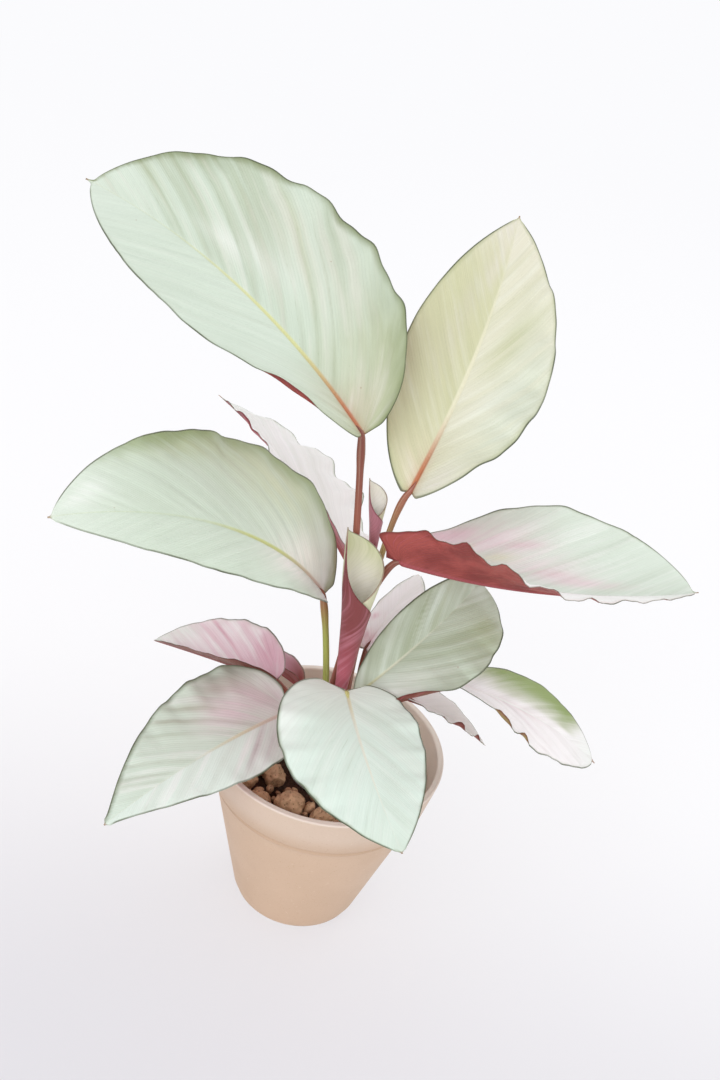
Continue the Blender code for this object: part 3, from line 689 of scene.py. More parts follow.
class Finish:
    """Builds one material. Any socket takes a number, a colour or another node's output."""

    def __init__(self, name):
        old = bpy.data.materials.get(name)
        if old:
            bpy.data.materials.remove(old)
        self.material = bpy.data.materials.new(name)
        self.material.use_nodes = True
        self.tree = self.material.node_tree
        self.shader = self.tree.nodes["Principled BSDF"]

    def feed(self, socket, value):
        if isinstance(value, bpy.types.NodeSocket):
            self.tree.links.new(value, socket)
        elif socket.type == "RGBA":
            socket.default_value = (*value[:3], 1.0)
        else:
            socket.default_value = value

    def node(self, kind, *values, **settings):
        made = self.tree.nodes.new(kind)
        for name, value in settings.items():
            setattr(made, name, value)
        for socket, value in zip(made.inputs, values):
            self.feed(socket, value)
        return made

    def field(self, name):
        """A number stored on the mesh's points."""
        return self.node("ShaderNodeAttribute", attribute_name=name).outputs["Fac"]

    def math(self, operation, *values):
        return self.node("ShaderNodeMath", *values, operation=operation).outputs[0]

    def times(self, first, second):
        return self.math("MULTIPLY", first, second)

    def times_plus(self, first, second, third):
        """First times second, plus third."""
        return self.math("MULTIPLY_ADD", first, second, third)

    def between(self, value, low, high, first=0.0, last=1.0):
        """Eases from first to last while value goes from low to high."""
        values = (value, low, high, first, last)
        return self.node("ShaderNodeMapRange", *values, interpolation_type="SMOOTHSTEP").outputs[0]

    def vector(self, x, y, z):
        return self.node("ShaderNodeCombineXYZ", x, y, z).outputs[0]

    def place(self):
        """The point on the object, in metres."""
        return self.node("ShaderNodeTexCoord").outputs["Object"]

    def split(self, vector):
        """The three parts of a vector."""
        return self.node("ShaderNodeSeparateXYZ", vector).outputs

    def noise(self, vector, scale, detail=2.0, roughness=0.5, distortion=0.0):
        made = self.node("ShaderNodeTexNoise", vector)
        sizes = {"Scale": scale, "Detail": detail, "Roughness": roughness, "Distortion": distortion}
        for name, value in sizes.items():
            made.inputs[name].default_value = value
        return made.outputs[0]

    def cells(self, vector, scale):
        made = self.node("ShaderNodeTexVoronoi", vector)
        made.inputs["Scale"].default_value = scale
        return made.outputs[0]

    def mix(self, share, under, over, blend="MIX"):
        made = self.node("ShaderNodeMix", data_type="RGBA", blend_type=blend)
        for index, value in ((0, share), (6, under), (7, over)):
            self.feed(made.inputs[index], value)
        return made.outputs[2]

    def cover(self, ground, *layers):
        """Lays colours over a ground. Each layer is a colour and what between makes its share from."""
        for colour, *share in layers:
            ground = self.mix(self.between(*share), ground, colour)
        return ground

    def shade(self, colour, level):
        """A colour made darker by a level from 0 to 1."""
        return self.mix(1.0, colour, self.vector(level, level, level), "MULTIPLY")

    def bump(self, height, distance, strength=1.0, under=None):
        made = self.node("ShaderNodeBump")
        made.inputs["Strength"].default_value = strength
        made.inputs["Distance"].default_value = distance
        self.feed(made.inputs["Height"], height)
        if under is not None:
            self.feed(made.inputs["Normal"], under)
        return made.outputs[0]

    def uneven(self, pattern, low, high):
        """A number from low to high that follows the middle of a noise pattern."""
        return self.between(pattern, *NOISE_MIDDLE, low, high)

    def let_through(self, share):
        """Lets a share of the light scatter inside the thin sheet."""
        self.set(Subsurface_Weight=share, Subsurface_Scale=0.0015, Subsurface_Radius=(1.0, 1.0, 1.0))

    def set(self, **sockets):
        for name, value in sockets.items():
            self.feed(self.shader.inputs[name.replace("_", " ")], value)
        return self.material


def blend_paint(palette, tint):
    """The colour of a (first, second, share) tint."""
    first, second, share = tint
    pair = zip(getattr(palette, first), getattr(palette, second))
    return tuple(one + (other - one) * share for one, other in pair)


def scaled(colour, share):
    """A colour made darker, or brighter up to white."""
    return tuple(min(1.0, level * share) for level in colour)


def scattered(number):
    """A share from 0 to 1 that lies far from those of the numbers next to it."""
    return (number * 0.618) % 1.0


# --- Finishes of the leaves ---


@dataclass(frozen=True)
class Streak:
    """Noise drawn out along the side veins: the size of one streak across and along them, in metres."""

    across_vein: float
    along_vein: float
    detail: float = 2.0
    seed: float = 0.0


UPPER_BROAD = Streak(0.013, 0.05)
UPPER_MIDDLE = Streak(0.004, 0.024, 3.0, 3.7)
UPPER_FINE = Streak(0.001, 0.012, 2.0, 8.1)
LOWER_BROAD = Streak(0.016, 0.04, 2.0, 9.5)
LOWER_MIDDLE = Streak(0.003, 0.03, 3.0, 2.2)
LOWER_FINE = Streak(0.0008, 0.01, 2.0, 6.4)
SCROLL_STREAK = Streak(0.0025, 0.02, 3.0)

VEIN_SEED = 5.3
VEIN_WANDER = Streak(0.012, 0.03)
VEIN_WANDER_SHARE = 1.2
VEIN_WIDTH_SHARE = 0.17

CLOUD_LENGTH = 0.018
CLOUDS_ACROSS = 1.8
PATCH_FADE = 0.37
# How strongly the painted shade and sheen keep to the pleats' hollows and crests.
PLEAT_PULL = 0.11
SIDE_BORDER = 0.05
MARGIN_LINE = (0.0003, 0.00085)
MIDRIB_WIDTH = 0.00135
MIDRIB_TIP_WIDTH = 0.0003
GLOW_WIDTH = 0.005
DRY_BORDER = 0.014


def streaks(finish, seed, length, streak):
    """The pattern of a streak on a blade of this length."""
    step_over = finish.times(finish.field("vein"), length / streak.across_vein)
    step_out = finish.times(finish.field("mid"), 1.0 / streak.along_vein)
    return finish.noise(finish.vector(step_over, step_out, seed + streak.seed), 1.0, streak.detail)


def vein_lines(finish, length, spacing, seed):
    """0 on a fine side vein and 1 between two of them."""
    wander = finish.times(streaks(finish, seed, length, VEIN_WANDER), VEIN_WANDER_SHARE)
    turn = finish.times_plus(finish.field("vein"), length / spacing, wander)
    return finish.between(finish.math("PINGPONG", turn, 0.5), 0.0, VEIN_WIDTH_SHARE)


class UpperFinish(Finish):
    """Upper face of an open blade. Each method from patch to dry_spots lays one layer over a ground."""

    def __init__(self, blade, look, palette, settings, seed):
        super().__init__(f"leaf_{blade.name}_upper")
        self.blade, self.look, self.palette = blade, look, palette
        self.along, self.across = self.field("along"), self.field("across")
        self.rim, self.mid = self.field("rim"), self.field("mid")
        self.broad, self.middle, self.fine = [
            streaks(self, seed, blade.length, streak) for streak in (UPPER_BROAD, UPPER_MIDDLE, UPPER_FINE)
        ]
        self.lines = vein_lines(self, blade.length, settings.vein_spacing, seed + VEIN_SEED)
        over = self.times(self.along, blade.length / CLOUD_LENGTH)
        self.cloud = self.noise(self.vector(over, self.times(self.across, CLOUDS_ACROSS), seed), 1.0, 3.0)

    def tint(self, name):
        """One of the look's colours."""
        return blend_paint(self.palette, getattr(self.look, name))

    def by_side(self, left, right):
        """The first number on the left half and the second on the right half."""
        return self.between(self.across, -SIDE_BORDER, SIDE_BORDER, left, right)

    def ground(self):
        """The colours of the two halves, of the base and of the tip."""
        look, reach = self.look, self.look.base_reach
        ground = self.mix(self.by_side(0.0, 1.0), self.tint("left"), self.tint("right"))
        near = self.times_plus(self.cloud, 0.5 * reach, self.along)
        near = self.between(near, 0.15 * reach, 1.35 * reach, look.base_share, 0.0)
        ground = self.mix(near, ground, self.tint("base"))
        return self.cover(ground, (self.tint("tip"), self.along, 0.68, 1.0, 0.0, look.tip_share))

    def patch(self, ground, patch):
        """A soft area of colour, streaked along the veins."""
        over = self.field("vein") if patch.band else self.along
        over = self.times_plus(over, 1.0 / patch.length, -patch.along / patch.length)
        out = self.times_plus(self.across, 1.0 / patch.width, -patch.across / patch.width)
        far = self.times_plus(out, out, self.times(over, over))
        streaked = self.between(self.middle, 0.3, 0.6, 0.45, 1.0)
        share = self.times(self.math("POWER", PATCH_FADE, far), streaked)
        return self.mix(self.times(share, patch.share), ground, blend_paint(self.palette, patch.colour))

    def pleats(self, ground):
        """Green or grey streaks in the hollows of the pleats and silvery ones on the crests: partly the
        leaf's own streaks, partly painted shade in the hollows and a painted sheen on the crests.
        """
        pleat = self.field("pleat")
        # Partly painted shade: darker streaks drawn into the pleats' hollows.
        hollow = self.times_plus(pleat, -PLEAT_PULL, self.broad)
        hollow = self.times_plus(self.middle, 0.25, hollow)
        hollow = self.times(self.between(hollow, 0.54, 0.86), self.by_side(*self.look.bands))
        ground = self.mix(hollow, ground, self.tint("band_colour"))
        # Partly painted sheen: pale streaks drawn onto the pleats' crests.
        crest = self.times_plus(pleat, PLEAT_PULL, self.middle)
        crest = self.times_plus(self.cloud, 0.35, crest)
        crest = self.times(self.between(crest, 0.62, 0.92), self.by_side(*self.look.gleam))
        return self.mix(crest, ground, self.tint("gleam_colour"))

    def veins(self, ground):
        """A fine grain, the side veins, and the furrows between the pleats, darkened partly as veins and
        partly as painted shade in the crease.
        """
        ground = self.shade(ground, self.times_plus(self.fine, 0.16, 0.92))
        ground = self.cover(ground, (self.tint("band_colour"), self.lines, 0.0, 1.0, 0.06, 0.0))
        # Partly painted shade: darker in the furrows between the pleats.
        groove = self.between(self.field("furrow"), 0.0, 0.09, 0.36, 0.0)
        groove = self.times(groove, self.between(self.rim, 0.001, 0.012))
        return self.mix(groove, ground, blend_paint(self.palette, ("moss", "sage", 0.5)))

    def edge(self, ground, edge, side):
        """The soft shade along one margin, with its brushed inner border."""
        brushed = self.times_plus(self.middle, -edge.brush, 0.5 * edge.brush)
        depth = self.times_plus(self.rim, 1.0 / edge.reach, brushed)
        ragged = self.times_plus(self.cloud, -1.6 * edge.uneven, 0.8 * edge.uneven)
        depth = self.math("ADD", depth, ragged)
        depth = self.math("ADD", depth, self.between(self.along, edge.until - 0.3, edge.until, 0.0, 1.3))
        if edge.since:
            depth = self.math("ADD", depth, self.between(self.along, 0.0, edge.since, 0.5, 0.0))
        border = 0.65 / edge.crisp
        depth = self.between(depth, 0.5 - border, 0.5 + border, edge.share, 0.0)
        this_side = self.between(self.times(self.across, side), 0.1, 0.3)
        return self.mix(self.times(depth, this_side), ground, blend_paint(self.palette, edge.colour))

    def margin(self, ground):
        """The thin dark line round the blade, which fades at the tip."""
        strength = self.between(self.cloud, 0.35, 0.62, 0.6, 0.95)
        strength = self.times(strength, self.between(self.along, 0.955, 0.985, 1.0, 0.1))
        line = self.times(self.between(self.rim, *MARGIN_LINE, 1.0, 0.0), strength)
        return self.mix(line, ground, self.palette.margin)

    def midrib(self, ground):
        """The midrib, which narrows to the tip and is reddest where it leaves the stalk."""
        width = self.between(self.along, 0.0, 0.9, MIDRIB_WIDTH * self.blade.size, MIDRIB_TIP_WIDTH)
        on_midrib = self.between(self.math("DIVIDE", self.mid, width), 0.4, 1.2, 1.0, 0.0)
        rib = self.cover(self.tint("midrib"), (self.tint("midrib_far"), self.along, 0.04, 0.3))
        fade = self.between(self.along, *self.look.midrib_fade, 0.9, 0.12)
        ground = self.mix(self.times(on_midrib, fade), ground, rib)
        glow = self.between(self.mid, 0.0, GLOW_WIDTH, self.look.glow, 0.0)
        glow = self.times(glow, self.between(self.along, 0.0, 0.2, 1.0, 0.0))
        return self.mix(glow, ground, self.tint("midrib"))

    def dry_spots(self, ground):
        """The withered point and a few brown specks."""
        dry, start = self.palette.dry, self.look.dry
        specks = self.cells(self.place(), 60.0)
        return self.cover(
            ground,
            (dry, self.along, start, start + DRY_BORDER, 0.0, 0.8),
            (dry, specks, 0.012, 0.03, 0.4, 0.0),
        )

    def relief(self):
        """Veins, streaks and a leathery grain to feel."""
        height = self.times_plus(self.lines, 0.35, self.times(self.middle, 0.8))
        height = self.times_plus(self.fine, 0.25, height)
        normal = self.bump(height, 0.00014, 0.8)
        return self.bump(self.noise(self.place(), 1900.0, 2.0), 0.00003, 0.5, normal)


def upper_finish(blade, look, palette, settings, seed):
    finish = UpperFinish(blade, look, palette, settings, seed)
    ground = finish.ground()
    for patch in look.patches:
        ground = finish.patch(ground, patch)
    ground = finish.veins(finish.pleats(ground))
    ground = finish.edge(ground, look.left_edge, -1.0)
    ground = finish.edge(ground, look.right_edge, 1.0)
    ground = finish.dry_spots(finish.midrib(finish.margin(ground)))
    roughness = finish.uneven(finish.noise(finish.place(), 260.0, 3.0), 0.38, 0.5)
    finish.let_through(look.clear)
    return finish.set(
        Base_Color=ground, Roughness=roughness, Normal=finish.relief(), Specular_IOR_Level=0.45,
    )


def lower_finish(blade, look, palette, settings, seed):
    """Underside of a blade: dark flesh with paler side veins and a raised midrib."""
    finish = Finish(f"leaf_{blade.name}_lower")
    mid, rim = finish.field("mid"), finish.field("rim")
    near_rib, far_rib = [blend_paint(palette, tint) for tint in (look.under, look.under_far)]
    wine, crimson = palette.wine, palette.crimson
    broad, middle, fine = [
        streaks(finish, seed, blade.length, streak) for streak in (LOWER_BROAD, LOWER_MIDDLE, LOWER_FINE)
    ]
    lines = vein_lines(finish, blade.length, settings.vein_spacing, seed + VEIN_SEED)
    flesh = finish.cover(
        near_rib,
        (far_rib, finish.times_plus(broad, 0.02, mid), 0.004, 0.03),
        (far_rib, middle, 0.38, 0.66, 0.0, 0.6),
        (wine, finish.noise(finish.place(), 75.0, 3.0), 0.42, 0.64, 0.0, 0.6),
        (crimson, lines, 0.0, 1.0, 0.3, 0.0),
    )
    flesh = finish.shade(flesh, finish.times_plus(fine, 0.3, 0.85))
    flesh = finish.cover(
        flesh,
        (finish.mix(0.5, near_rib, crimson), mid, 0.0005, 0.0014, 0.7, 0.0),
        (wine, rim, 0.0003, 0.001, 0.6, 0.0),
    )
    roughness = finish.uneven(finish.noise(finish.place(), 300.0, 3.0), 0.42, 0.56)
    normal = finish.bump(finish.times_plus(lines, -0.8, finish.times(middle, 0.6)), 0.00018, 0.9)
    return finish.set(Base_Color=flesh, Roughness=roughness, Normal=normal, Specular_IOR_Level=0.28)


def scroll_outside(scroll, palette, settings, number):
    """Outside of the roll: the blade's crimson underside, paler towards its tip."""
    seed = 40.0 + number
    finish = Finish(f"leaf_{scroll.name}_outside")
    along, rim, across = finish.field("along"), finish.field("rim"), finish.field("across")
    middle = streaks(finish, seed, scroll.height, SCROLL_STREAK)
    lines = vein_lines(finish, scroll.height, settings.vein_spacing, seed)
    foot, upper = [blend_paint(palette, tint) for tint in scroll.outside]
    wine = palette.wine
    flesh = finish.cover(
        foot,
        (upper, along, 0.1, 0.48),
        (blend_paint(palette, ("crimson", "rose", 0.35)), middle, 0.4, 0.7, 0.0, 0.5),
        (wine, lines, 0.0, 1.0, 0.2, 0.0),
        (blend_paint(palette, ("olive", "cream", 0.5)), finish.times_plus(across, -0.28, along), 0.62, 0.7),
        (wine, rim, 0.0002, 0.0007, 0.6, 0.0),
    )
    normal = finish.bump(finish.times_plus(lines, -0.4, middle), 0.00012, 0.7)
    return finish.set(Base_Color=flesh, Roughness=finish.uneven(middle, 0.38, 0.52), Normal=normal)


def scroll_inside(scroll, palette, settings, number):
    """Inside of the roll: the blade's upper face, olive to cream, paler low down partly as painted light
    against the shade inside the roll.
    """
    seed = 60.0 + number
    finish = Finish(f"leaf_{scroll.name}_inside")
    along, rim = finish.field("along"), finish.field("rim")
    middle = streaks(finish, seed, scroll.height, SCROLL_STREAK)
    lines = vein_lines(finish, scroll.height, settings.vein_spacing, seed)
    low, high = [blend_paint(palette, tint) for tint in scroll.inside]
    flesh = finish.cover(
        # Partly painted light: paler low in the roll, where shade falls inside it.
        low,
        (high, along, 0.62, 0.88),
        (palette.cream, middle, 0.35, 0.7, 0.0, 0.4),
        (palette.moss, lines, 0.0, 1.0, 0.08, 0.0),
        (palette.margin, rim, 0.0002, 0.0008, 0.7, 0.0),
    )
    normal = finish.bump(finish.times_plus(lines, -0.3, middle), 0.00008, 0.6)
    finish.let_through(0.5)
    return finish.set(Base_Color=flesh, Roughness=finish.uneven(middle, 0.4, 0.52), Normal=normal)


# --- Finishes of the stalks, the pot and its contents ---


def stalk_finish(stalk, palette, seed):
    """Stalk: three colours from foot to blade, with fine stripes along it. On a red stalk these are painted
    shade, painted light and painted shade again.
    """
    finish = Finish(f"stalk_{stalk.name}")
    foot, middle, top = [getattr(palette, name) for name in stalk.colours]
    along, turn = finish.field("along"), finish.field("turn")
    place = finish.vector(finish.times(turn, 14.0), finish.times(along, 3.0), seed)
    stripe = finish.noise(place, 1.0, 3.0)
    skin = finish.cover(
        foot,
        # On a red stalk the middle colour is painted light, and the foot and top are painted shade.
        (middle, along, 0.05, 0.5),
        (top, along, 0.68, 0.97),
        (palette.wine, stripe, 0.35, 0.75, 0.0, 0.35),
        (palette.cream, stripe, 0.25, 0.45, 0.22, 0.0),
    )
    roughness = finish.uneven(stripe, 0.38, 0.55)
    normal = finish.bump(stripe, 0.0002, 0.7)
    return finish.set(Base_Color=skin, Roughness=roughness, Normal=normal, Specular_IOR_Level=0.5)


def pot_finish(settings):
    """Matt plastic, faintly mottled, with painted light and shade: paler on the band, the lip and inside,
    and a painted shadow under the ledge.
    """
    finish = Finish("pot_plastic")
    here = finish.place()
    plastic = settings.plastic
    speck = finish.noise(here, 1500.0, 2.0, 0.6)
    fibre = finish.noise(here, 420.0, 4.0, 0.7, 1.5)
    cloud = finish.noise(here, 38.0, 3.0)
    east, north, height = finish.split(here)
    top, ledge = settings.height, settings.height - settings.band
    skin = finish.cover(
        plastic,
        (scaled(plastic, 0.82), cloud, *NOISE_MIDDLE, 0.0, 0.22),
        (paint("b08a68"), speck, 0.6, 0.72, 0.0, 0.45),
        (paint("f4ece2"), fibre, 0.62, 0.75, 0.0, 0.35),
        # Painted light: the band above the ledge is paler and greyer.
        (paint("dfdcd8"), height, ledge - 0.0005, ledge + 0.01, 0.0, 0.22),
    )
    # Painted shadow under the ledge, where the band overhangs the body.
    shadow = finish.between(height, ledge - 0.006, ledge - 0.0002, 0.0, 0.4)
    shadow = finish.times(shadow, finish.between(height, ledge, ledge + 0.0002, 1.0, 0.0))
    skin = finish.mix(shadow, skin, paint("a98a70"))
    radius = finish.math("SQRT", finish.times_plus(east, east, finish.times(north, north)))
    slope = (settings.rim_radius - POT_BASE_RADIUS) / settings.height
    wall = finish.times_plus(height, slope, POT_BASE_RADIUS - 0.001)
    skin = finish.cover(
        skin,
        # Painted light: the lip is paler.
        (paint("f2e9df"), height, top - 0.0012, top - 0.0002, 0.0, 0.7),
        # Painted light: the inside wall is paler.
        (paint("f6efe2"), finish.math("SUBTRACT", radius, wall), -0.0004, 0.0004, 0.9, 0.0),
    )
    normal = finish.bump(speck, 0.00004, 0.5, finish.bump(fibre, 0.00008, 0.6))
    return finish.set(Base_Color=skin, Roughness=finish.uneven(cloud, 0.5, 0.62), Normal=normal)


def mix_finish(settings):
    """Damp potting mix: dark crumbs with paler bits of bark."""
    finish = Finish("potting_mix")
    here = finish.place()
    crumb = finish.cells(here, 420.0)
    grain = finish.noise(here, 900.0, 4.0, 0.7)
    dark = settings.mix
    earth = finish.cover(
        scaled(dark, 0.45),
        (dark, grain, 0.35, 0.7),
        (paint("6d5138"), finish.noise(here, 210.0, 2.0), 0.6, 0.72, 0.0, 0.6),
    )
    normal = finish.bump(finish.times_plus(crumb, -1.0, grain), 0.0006)
    return finish.set(Base_Color=earth, Roughness=finish.uneven(grain, 0.82, 0.98), Normal=normal)


def stone_finish(settings, number):
    """Lava stone: rusty, with painted shade on the faces that turn down and in its pits and hollows, and
    pale dust in its grain.
    """
    finish = Finish(f"lava_stone_{number:02d}")
    shift = Vector((0.37 * number, 0.11 * number, 0.0))
    here = finish.node("ShaderNodeVectorMath", finish.place(), shift, operation="ADD").outputs[0]
    face = scaled(settings.stone, 0.85 + 0.3 * scattered(number))
    pit_shade = settings.stone_dark
    cloud = finish.noise(here, 150.0, 4.0, 0.6)
    grain = finish.noise(here, 1100.0, 4.0, 0.7)
    pit = finish.cells(here, 700.0)
    upward = finish.split(finish.node("ShaderNodeNewGeometry").outputs["Normal"])["Z"]
    rock = finish.cover(
        scaled(face, 0.8),
        (face, cloud, 0.35, 0.65),
        # Painted shade: faces that turn down or sideways are darker.
        (paint("8a6547"), upward, 0.1, 0.8, 0.6, 0.0),
        # Painted shade in the pits and in the low parts of the relief.
        (pit_shade, pit, 0.1, 0.3, 0.6, 0.0),
        (pit_shade, finish.field("height"), -0.9, 0.1, 0.3, 0.0),
        (paint("c9a98a"), grain, 0.58, 0.75, 0.0, 0.4),
    )
    normal = finish.bump(finish.between(pit, 0.05, 0.4), 0.0004, 0.9)
    normal = finish.bump(grain, 0.0003, 0.8, normal)
    return finish.set(Base_Color=rock, Roughness=finish.uneven(grain, 0.8, 0.97), Normal=normal)


def crown_finish(palette):
    """Old sheaths: brown and straw-coloured skin with reddish fibres along it."""
    finish = Finish("crown_skin")
    here = finish.place()
    stretched = finish.node("ShaderNodeMapping", here, Vector(), Vector(), Vector((1, 1, 0.15)))
    fibre = finish.noise(stretched.outputs[0], 900.0, 4.0, 0.6)
    cloud = finish.noise(here, 260.0, 2.0)
    skin = finish.cover(
        paint("5b4630"),
        (paint("86744a"), cloud, 0.35, 0.65),
        (palette.stalk_red, fibre, 0.45, 0.65, 0.0, 0.6),
    )
    normal = finish.bump(fibre, 0.0004, 0.8)
    return finish.set(Base_Color=skin, Roughness=finish.uneven(fibre, 0.6, 0.85), Normal=normal)


# --- Mesh helpers ---


def smooth(value):
    value = np.clip(value, 0.0, 1.0)
    return value * value * (3.0 - 2.0 * value)


def remove_piece(name):
    old = bpy.data.objects.get(name)
    if old:
        bpy.data.objects.remove(old, do_unlink=True)


def link_object(name, data):
    made = bpy.data.objects.new(name, data)
    bpy.context.scene.collection.objects.link(made)
    return made


def place_piece(name, mesh, materials, node):
    """Links a finished mesh as a piece that rides on the plant and stands for a node of the frame."""
    for material in materials:
        mesh.materials.append(material)
    piece = link_object(name, mesh)
    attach(piece, BODY)
    if node:
        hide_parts(node)
    return piece


def store_fields(mesh, fields):
    for name, values in fields.items():
        layer = mesh.attributes.new(name, "FLOAT", "POINT")
        layer.data.foreach_set("value", np.asarray(values, np.float32).reshape(-1))


def finished_mesh(name, shape):
    """The mesh of a bmesh, which is freed."""
    mesh = bpy.data.meshes.new(name)
    shape.to_mesh(mesh)
    shape.free()
    return mesh


def grid_faces(rows, columns, start=0, wrap=False):
    """Quads of a grid of points, counted row by row. Wrap joins the last column to the first."""
    across = np.arange(columns if wrap else columns - 1)
    row, column = np.meshgrid(np.arange(rows - 1), across, indexing="ij")
    after = (column + 1) % columns
    here, above = row * columns, (row + 1) * columns
    corners = [here + column, here + after, above + after, above + column]
    return start + np.stack(corners, -1).reshape(-1, 4)


def sheet_mesh(name, upper, lower, fields):
    """A closed thin sheet between two grids of points. Its lower face takes the second material."""
    rows, columns = upper.shape[:2]
    count = rows * columns
    top = grid_faces(rows, columns)
    bottom = grid_faces(rows, columns, count)[:, ::-1]
    right = np.arange(rows) * columns + columns - 1
    left = np.arange(rows) * columns
    base = np.arange(columns)
    tip = (rows - 1) * columns + np.arange(columns)
    rims = []
    for edge in (right, left[::-1], tip[::-1], base):
        rims.append(np.stack([edge[:-1], edge[:-1] + count, edge[1:] + count, edge[1:]], -1))
    faces = np.vstack([top, bottom, *rims])
    mesh = bpy.data.meshes.new(name)
    points = np.vstack([upper.reshape(-1, 3), lower.reshape(-1, 3)])
    mesh.from_pydata(points.tolist(), [], faces.tolist())
    index = np.zeros(len(faces), np.int32)
    index[len(top):len(top) + len(bottom)] = 1
    mesh.polygons.foreach_set("material_index", index)
    both = {key: np.stack([np.broadcast_to(value, (rows, columns))] * 2) for key, value in fields.items()}
    store_fields(mesh, both)
    mesh.shade_smooth()
    return mesh


def grid_normals(points):
    """Unit normals of a grid of points, up where rows run along and columns run to the right."""
    normal = np.cross(np.gradient(points, axis=1), np.gradient(points, axis=0))
    return normal / np.maximum(np.linalg.norm(normal, axis=-1, keepdims=True), 1e-12)


def tube_mesh(name, centres, radii, sides, fields):
    """A closed tube round a line of points. The radii may differ round the tube."""
    tangents = np.gradient(centres, axis=0)
    tangents /= np.linalg.norm(tangents, axis=1, keepdims=True)
    side = np.cross(tangents[0], (0.0, 1.0, 0.0) if abs(tangents[0][1]) < 0.9 else (1.0, 0.0, 0.0))
    angles = 2.0 * math.pi * np.arange(sides) / sides
    points = np.zeros((len(centres), sides, 3))
    for row, (centre, tangent) in enumerate(zip(centres, tangents)):
        side = side - tangent * (side @ tangent)
        side /= np.linalg.norm(side)
        other = np.cross(tangent, side)
        ring = np.cos(angles)[:, None] * side + np.sin(angles)[:, None] * other
        points[row] = centre + ring * radii[row][:, None]
    count = len(centres) * sides
    faces = grid_faces(len(centres), sides, wrap=True).tolist()
    faces.append(list(range(sides))[::-1])
    faces.append(list(range(count - sides, count)))
    mesh = bpy.data.meshes.new(name)
    mesh.from_pydata(points.reshape(-1, 3).tolist(), [], faces)
    store_fields(mesh, {key: np.broadcast_to(value, radii.shape) for key, value in fields.items()})
    mesh.shade_smooth()
    return mesh


def turned_mesh(name, profile, segments, height_at=None):
    """A closed solid of revolution about Z, from a profile that starts and ends on the axis."""
    shape = bmesh.new()
    rings = []
    for radius, height in profile:
        if radius == 0.0:
            rings.append([shape.verts.new((0.0, 0.0, height))])
            continue
        ring = []
        for step in range(segments):
            angle = 2.0 * math.pi * step / segments
            ring.append(shape.verts.new((radius * math.cos(angle), radius * math.sin(angle), height)))
        rings.append(ring)
    for lower, upper in zip(rings[:-1], rings[1:]):
        for step in range(segments):
            after = (step + 1) % segments
            corners = [lower[step % len(lower)], lower[after % len(lower)]]
            corners += [upper[after % len(upper)], upper[step % len(upper)]]
            shape.faces.new(list(dict.fromkeys(corners)))
    if height_at:
        for vertex in shape.verts:
            vertex.co = height_at(vertex.co)
    shape.normal_update()
    bmesh.ops.recalc_face_normals(shape, faces=shape.faces)
    mesh = finished_mesh(name, shape)
    mesh.shade_smooth()
    return mesh


# --- Pot ---

POT_BASE_RADIUS = 0.027
POT_BASE_ROUNDING = 0.0025
POT_FLOOR = 0.0022
POT_LIP_ROUNDING = 0.0008
POT_SEGMENTS = 160
POT_WALL_STEPS = 24
POT_SHARP_ANGLE = 40
ARC_STEPS = 6

BAND_STEP = 0.0013
BAND_FLARE = 0.0032
BAND_EDGE = 0.0003
BAND_INNER_STEP = 0.0024
# The rounded ledge under the band: how far in from the wall and how far below the band each point lies.
LEDGE_HEIGHT = 0.004
LEDGE = ((0.0002, 0.003), (0.0007, 0.0012), (0.0008, 0.0002), (0.0003, 0.0))

DRAIN_HOLE_COUNT = 5
DRAIN_HOLE_RADIUS = 0.003
DRAIN_HOLE_RING = 0.0155
DRAIN_HOLE_TURN = 40.5


def rounded(centre, radius, start, end):
    """Points of an arc in the pot's profile, from one angle to another."""
    angles = [math.radians(start + (end - start) * step / ARC_STEPS) for step in range(ARC_STEPS + 1)]
    return [(centre[0] + radius * math.cos(angle), centre[1] + radius * math.sin(angle)) for angle in angles]


def pot_profile(settings):
    """Down the axis, along the base, up the tapered body and band, over the lip and down inside."""
    band_bottom = settings.height - settings.band
    band = settings.rim_radius - BAND_FLARE
    body_top = band - BAND_STEP
    lip_inner = settings.rim_radius - settings.lip

    def body(height):
        return POT_BASE_RADIUS + (body_top - POT_BASE_RADIUS) * height / band_bottom

    foot = rounded((POT_BASE_RADIUS - POT_BASE_ROUNDING, POT_BASE_ROUNDING), POT_BASE_ROUNDING, -90, -5)
    tall = band_bottom - LEDGE_HEIGHT - POT_BASE_ROUNDING
    rise = [POT_BASE_ROUNDING + tall * step / POT_WALL_STEPS for step in range(1, POT_WALL_STEPS + 1)]
    outside = [(body(height), height) for height in rise]
    ledge = [(body_top - inward, band_bottom - below) for inward, below in LEDGE]
    band_edge = [(band - BAND_EDGE, band_bottom), (band, band_bottom + BAND_EDGE)]
    lip_height = settings.height - POT_LIP_ROUNDING
    top = rounded((settings.rim_radius - POT_LIP_ROUNDING, lip_height), POT_LIP_ROUNDING, 0, 90)
    top += rounded((lip_inner + POT_LIP_ROUNDING, lip_height), POT_LIP_ROUNDING, 90, 180)
    inside = [(band - settings.wall, band_bottom + BAND_INNER_STEP), (body_top - settings.wall, band_bottom)]
    down = [(body(height) - settings.wall, height) for height in reversed(rise)]
    floor = [(body(POT_FLOOR) - settings.wall, POT_FLOOR), (0.0, POT_FLOOR)]
    return [(0.0, 0.0), *foot, *outside, *ledge, *band_edge, *top, *inside, *down, *floor]


